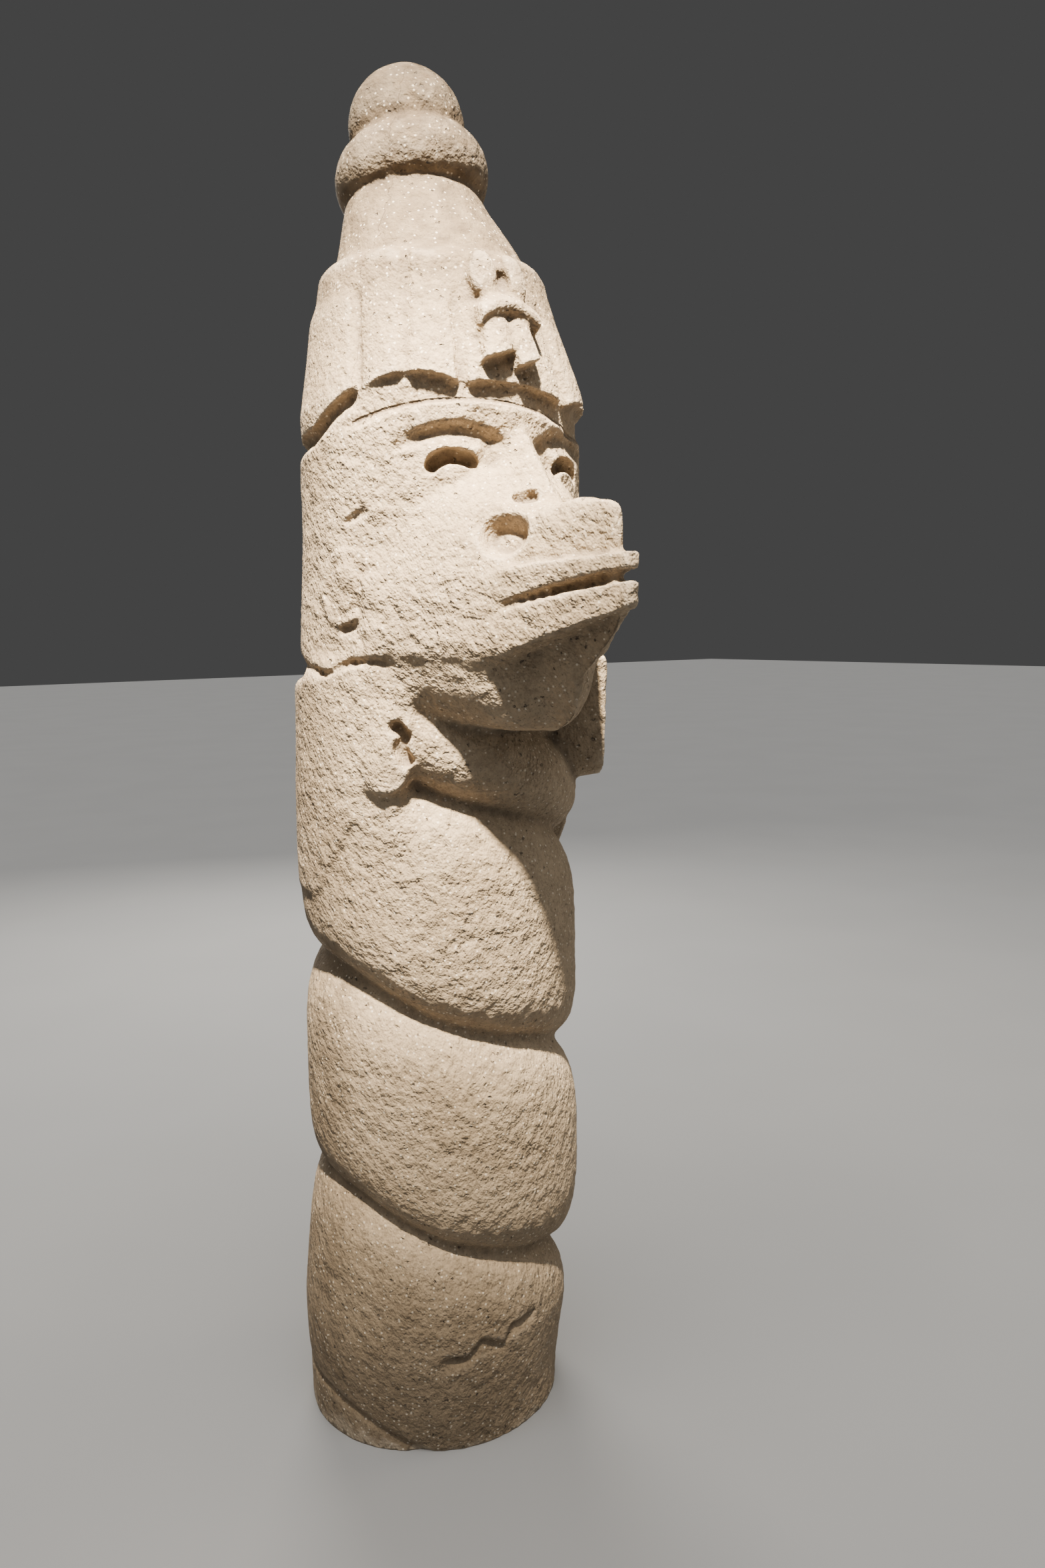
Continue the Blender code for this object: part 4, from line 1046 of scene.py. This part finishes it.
class StoneNodes:
    """Short calls that add and link nodes of one material."""

    def __init__(self, name):
        self.material = bpy.data.materials.new(name)
        self.material.use_nodes = True
        self.tree = self.material.node_tree
        self.shader = self.tree.nodes["Principled BSDF"]
        self.place = self.tree.nodes.new("ShaderNodeTexCoord").outputs["Object"]

    def add(self, kind, links, **settings):
        """A node with linked inputs and plain settings."""
        node = self.tree.nodes.new(kind)
        for key, value in settings.items():
            setattr(node, key, value)
        for key, value in links.items():
            if isinstance(value, bpy.types.NodeSocket):
                self.tree.links.new(value, node.inputs[key])
            else:
                node.inputs[key].default_value = value
        return node

    def attribute(self, name):
        """A mask stored on the mesh."""
        return self.add("ShaderNodeAttribute", {}, attribute_name=name).outputs["Fac"]

    def noise(self, scale, detail=2.0, rough=0.5, vector=None):
        """Noise value from 0 to 1."""
        source = self.place if vector is None else vector
        links = {"Vector": source, "Scale": scale, "Detail": detail, "Roughness": rough}
        return self.add("ShaderNodeTexNoise", links).outputs["Fac"]

    def cells(self, scale, vector=None):
        """Voronoi cells: distance to the nearest point, and its random colour."""
        source = self.place if vector is None else vector
        node = self.add("ShaderNodeTexVoronoi", {"Vector": source, "Scale": scale})
        return node.outputs["Distance"], node.outputs["Color"]

    def ragged_place(self, share, scale):
        """Place on the stone, shifted a little by noise so that the edges of cells come out ragged."""
        shift = self.add("ShaderNodeTexNoise", {"Vector": self.place, "Scale": scale}).outputs["Color"]
        shifted = self.add("ShaderNodeMix", {0: share}, data_type="VECTOR")
        self.tree.links.new(self.place, shifted.inputs[4])
        self.tree.links.new(shift, shifted.inputs[5])
        return shifted.outputs[1]

    def ramp(self, value, low, high, out_low=0.0, out_high=1.0):
        """Smooth map of a value onto another range."""
        links = {"Value": value, "From Min": low, "From Max": high, "To Min": out_low, "To Max": out_high}
        return self.add("ShaderNodeMapRange", links, interpolation_type="SMOOTHSTEP").outputs["Result"]

    def math(self, operation, a, b=0.0):
        """Arithmetic on two values."""
        return self.add("ShaderNodeMath", {0: a, 1: b}, operation=operation).outputs["Value"]

    def product(self, value, *factors):
        """A value times one or more factors."""
        for factor in factors:
            value = self.math("MULTIPLY", value, factor)
        return value

    def picked(self, kind, channel, low, high):
        """1 in the cells whose random colour has enough of one channel, 0 in the others."""
        split = self.add("ShaderNodeSeparateColor", {"Color": kind})
        return self.ramp(split.outputs[channel], low, high)

    def mix(self, share, a, b):
        """Mix two colours by a share."""
        node = self.add("ShaderNodeMix", {}, data_type="RGBA")
        for socket, value in ((node.inputs[0], share), (node.inputs[6], a), (node.inputs[7], b)):
            if isinstance(value, bpy.types.NodeSocket):
                self.tree.links.new(value, socket)
            else:
                socket.default_value = value
        return node.outputs[2]

    def bump(self, height, distance, strength=1.0, normal=None):
        """Bump of a height in metres, on top of another normal."""
        links = {"Height": height, "Distance": distance, "Strength": strength}
        if normal is not None:
            links["Normal"] = normal
        return self.add("ShaderNodeBump", links).outputs["Normal"]


def stone_material():
    """Porous grey-beige volcanic stone: mottled, flecked with pale crystals, pitted and pecked."""
    stone = StoneNodes("volcanic_stone")
    hollow = stone.attribute("hollow")
    rough = stone.attribute("rough")
    patina = stone.attribute("patina")

    # Mottled ground with grit, brown where it is stained, and browner on the hat, knob and foot as painted
    # shade
    broad = stone.ramp(stone.noise(MOTTLE_SCALE, 4.0, 0.6), 0.35, 0.65)
    colour = stone.mix(broad, BASE_DARK, BASE_LIGHT)
    cloud = stone.ramp(stone.noise(CLOUD_SCALE, 4.0, 0.65), 0.38, 0.66)
    colour = stone.mix(stone.product(cloud, 0.55), colour, CLOUD_COLOUR)
    brown_stain_and_shade = stone.mix(cloud, STAIN_AND_SHADE_DARK, STAIN_AND_SHADE_LIGHT)
    grit = stone.ramp(stone.noise(GRIT_SCALE, 3.0, 0.7), 0.36, 0.64, 0.0, 0.5)
    colour = stone.mix(grit, colour, GRIT_COLOUR)
    dusk = stone.ramp(stone.noise(DUSK_SCALE, 3.0, 0.7), 0.56, 0.70, 0.0, 0.5)
    colour = stone.mix(dusk, colour, DUSK_COLOUR)
    # Browned by the patina mask: stain on the back, and stain with painted shade on the hat, knob and foot
    colour = stone.mix(stone.product(patina, 0.95), colour, brown_stain_and_shade)

    # Pale crystals and dark specks
    flecks, fleck_kind = stone.cells(FLECK_SCALE)
    fleck = stone.ramp(flecks, 0.30, 0.16)
    pale = stone.product(fleck, stone.picked(fleck_kind, "Red", 0.55, 0.65), 0.75)
    colour = stone.mix(pale, colour, FLECK_COLOUR)
    specks, speck_kind = stone.cells(SPECK_SCALE)
    speck = stone.ramp(specks, 0.34, 0.18)
    dark = stone.product(speck, stone.picked(speck_kind, "Green", 0.66, 0.78), 0.6)
    colour = stone.mix(dark, colour, SPECK_COLOUR)

    # Pores, painted dark inside as shade
    pores, pore_kind = stone.cells(PORE_SCALE, stone.ragged_place(RAGGED_SHARE, RAGGED_SCALE))
    pore_open = stone.ramp(pores, 0.30, 0.10)
    pore = stone.product(pore_open, stone.picked(pore_kind, "Blue", 0.80, 0.90))
    colour = stone.mix(stone.product(pore, 0.75), colour, PORE_SHADE_COLOUR)

    # Line cut round the forehead, painted dark as shade in its groove
    away = stone.math("ABSOLUTE", stone.math("SUBTRACT", stone.attribute("headband"), 0.5))
    wander = stone.product(stone.noise(LINE_WANDER_SCALE, 3.0), LINE_WANDER)
    line = stone.ramp(stone.math("ADD", away, wander), LINE_EDGE, 0.014)
    colour = stone.mix(stone.product(line, 0.70), colour, LINE_SHADE_COLOUR)

    # Painted shade in the hollows, and pale worn edges
    deep = stone.ramp(hollow, 0.55, 0.95)
    colour = stone.mix(stone.product(deep, 0.70), colour, HOLLOW_SHADE_COLOUR)
    worn = stone.ramp(hollow, 0.42, 0.12)
    colour = stone.mix(stone.product(worn, 0.35), colour, WORN_COLOUR)
    stone.tree.links.new(colour, stone.shader.inputs["Base Color"])

    # Peck marks, pores, line and grain as fine relief
    lean = {"Vector": stone.place, "Rotation": (math.radians(40.0), 0.0, math.radians(35.0))}
    turned = stone.add("ShaderNodeMapping", lean).outputs["Vector"]
    squeeze = {"Vector": turned, "Scale": (1.0, 1.0, 0.7)}
    squeezed = stone.add("ShaderNodeMapping", squeeze).outputs["Vector"]
    pecks = stone.noise(PECK_SCALE, 3.0, 0.60, squeezed)
    peck_height = stone.product(pecks, stone.ramp(rough, 0.0, 1.0, 0.45, 1.0))
    grains = stone.cells(GRAIN_SCALE, turned)[0]
    fine = stone.cells(FINE_GRAIN_SCALE)[0]
    grain = stone.math("ADD", stone.product(grains, -0.75), stone.product(fine, -0.35))
    grain_height = stone.product(grain, stone.noise(GRAIN_FADE_SCALE, 2.0))
    normal = stone.bump(peck_height, PECK_BUMP)
    normal = stone.bump(stone.product(pore, -1.0), PORE_BUMP, 1.0, normal)
    normal = stone.bump(stone.product(line, -1.0), LINE_BUMP, 1.0, normal)
    normal = stone.bump(grain_height, GRAIN_BUMP, GRAIN_STRENGTH, normal)
    stone.tree.links.new(normal, stone.shader.inputs["Normal"])

    # Dusty, nearly dull surface
    dusty = stone.ramp(cloud, 0.0, 1.0, 0.86, 0.96)
    stone.tree.links.new(dusty, stone.shader.inputs["Roughness"])
    stone.shader.inputs["Specular IOR Level"].default_value = 0.25
    return stone.material


def plain_material(name, colour, roughness):
    """Plain stage finish with a faint mottling."""
    paper = StoneNodes(name)
    tone = paper.ramp(paper.noise(1.5, 2.0), 0.3, 0.7)
    darker = tuple(0.97 * channel for channel in colour[:3]) + (1.0,)
    paper.tree.links.new(paper.mix(tone, colour, darker), paper.shader.inputs["Base Color"])
    paper.shader.inputs["Roughness"].default_value = roughness
    return paper.material


def make_floor():
    """Pale floor far past the view."""
    bpy.ops.mesh.primitive_plane_add(size=FLOOR_SIZE, location=(0.0, 0.0, -FLOOR_GAP))
    floor = bpy.context.object
    floor.name = "studio_floor"
    floor.data.materials.append(plain_material("studio_paper", FLOOR_COLOUR, FLOOR_ROUGHNESS))


def add_camera():
    """Camera at the photograph's angle, with its lens, pitch and slight roll."""
    data = bpy.data.cameras.new("photo_camera")
    data.sensor_fit = "VERTICAL"
    data.sensor_height = SENSOR_MM
    data.lens = LENS_MM
    data.clip_end = CAMERA_FAR
    camera = bpy.data.objects.new("photo_camera", data)
    bpy.context.scene.collection.objects.link(camera)
    stand = math.radians(CAMERA_ANGLE)
    heading = -math.radians(CAMERA_ANGLE + CAMERA_TURN)
    place = Matrix.Translation(
        (-CAMERA_DISTANCE * math.sin(stand), -CAMERA_DISTANCE * math.cos(stand), CAMERA_HEIGHT))
    aim = Matrix.Rotation(heading, 4, "Z") @ Matrix.Rotation(math.radians(90.0 - CAMERA_PITCH), 4, "X")
    camera.matrix_world = place @ aim @ Matrix.Rotation(math.radians(-CAMERA_ROLL), 4, "Z")
    bpy.context.scene.camera = camera


def add_light(name, kind, angle, height, distance, size, watts, colour):
    """Light from an angle round the column, aimed at its upper half."""
    data = bpy.data.lights.new(name, kind)
    if kind == "SPOT":
        data.spot_size = math.radians(KEY_BEAM)
        data.spot_blend = 1.0
        data.shadow_soft_size = size
    else:
        data.shape = "DISK"
        data.size = size
    data.energy = watts
    data.color = colour
    light = bpy.data.objects.new(name, data)
    bpy.context.scene.collection.objects.link(light)
    around = math.radians(angle)
    place = np.array((-distance * math.sin(around), -distance * math.cos(around), height))
    aim = np.array((0.0, 0.0, AIM_HEIGHT)) - place
    pan = math.atan2(aim[1], aim[0]) - math.pi / 2.0
    tilt = math.atan2(aim[2], math.hypot(aim[0], aim[1])) + math.pi / 2.0
    turned = Matrix.Rotation(pan, 4, "Z") @ Matrix.Rotation(tilt, 4, "X")
    light.matrix_world = Matrix.Translation(place) @ turned
    return light


def add_lights(carved):
    """High warm key on the stone alone, low soft lights round it, and an even light from above."""
    key = add_light(*KEY_LIGHT)
    lit = bpy.data.collections.new("lit_by_key")
    lit.objects.link(carved)
    key.light_linking.receiver_collection = lit
    for soft_light in SOFT_LIGHTS:
        add_light(*soft_light)
    sky = bpy.data.objects.new("even_light", bpy.data.lights.new("even_light", "SUN"))
    sky.data.energy = EVEN_LIGHT_POWER
    sky.rotation_euler = (math.radians(EVEN_LIGHT_LEAN[0]), math.radians(EVEN_LIGHT_LEAN[1]), 0.0)
    sky.data.angle = math.radians(EVEN_LIGHT_SPREAD)
    bpy.context.scene.collection.objects.link(sky)
    world = bpy.data.worlds.new("studio")
    bpy.context.scene.world = world
    world.use_nodes = True
    surround = world.node_tree.nodes["Background"]
    surround.inputs["Color"].default_value = SURROUND_COLOUR
    surround.inputs["Strength"].default_value = SURROUND_STRENGTH


def main():
    """Build the carving and the stage round it."""
    stone = build_stone()
    stone.data.materials.clear()
    stone.data.materials.append(stone_material())
    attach(stone, "root")
    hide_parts(NODE)
    make_floor()
    add_camera()
    add_lights(stone)


main()
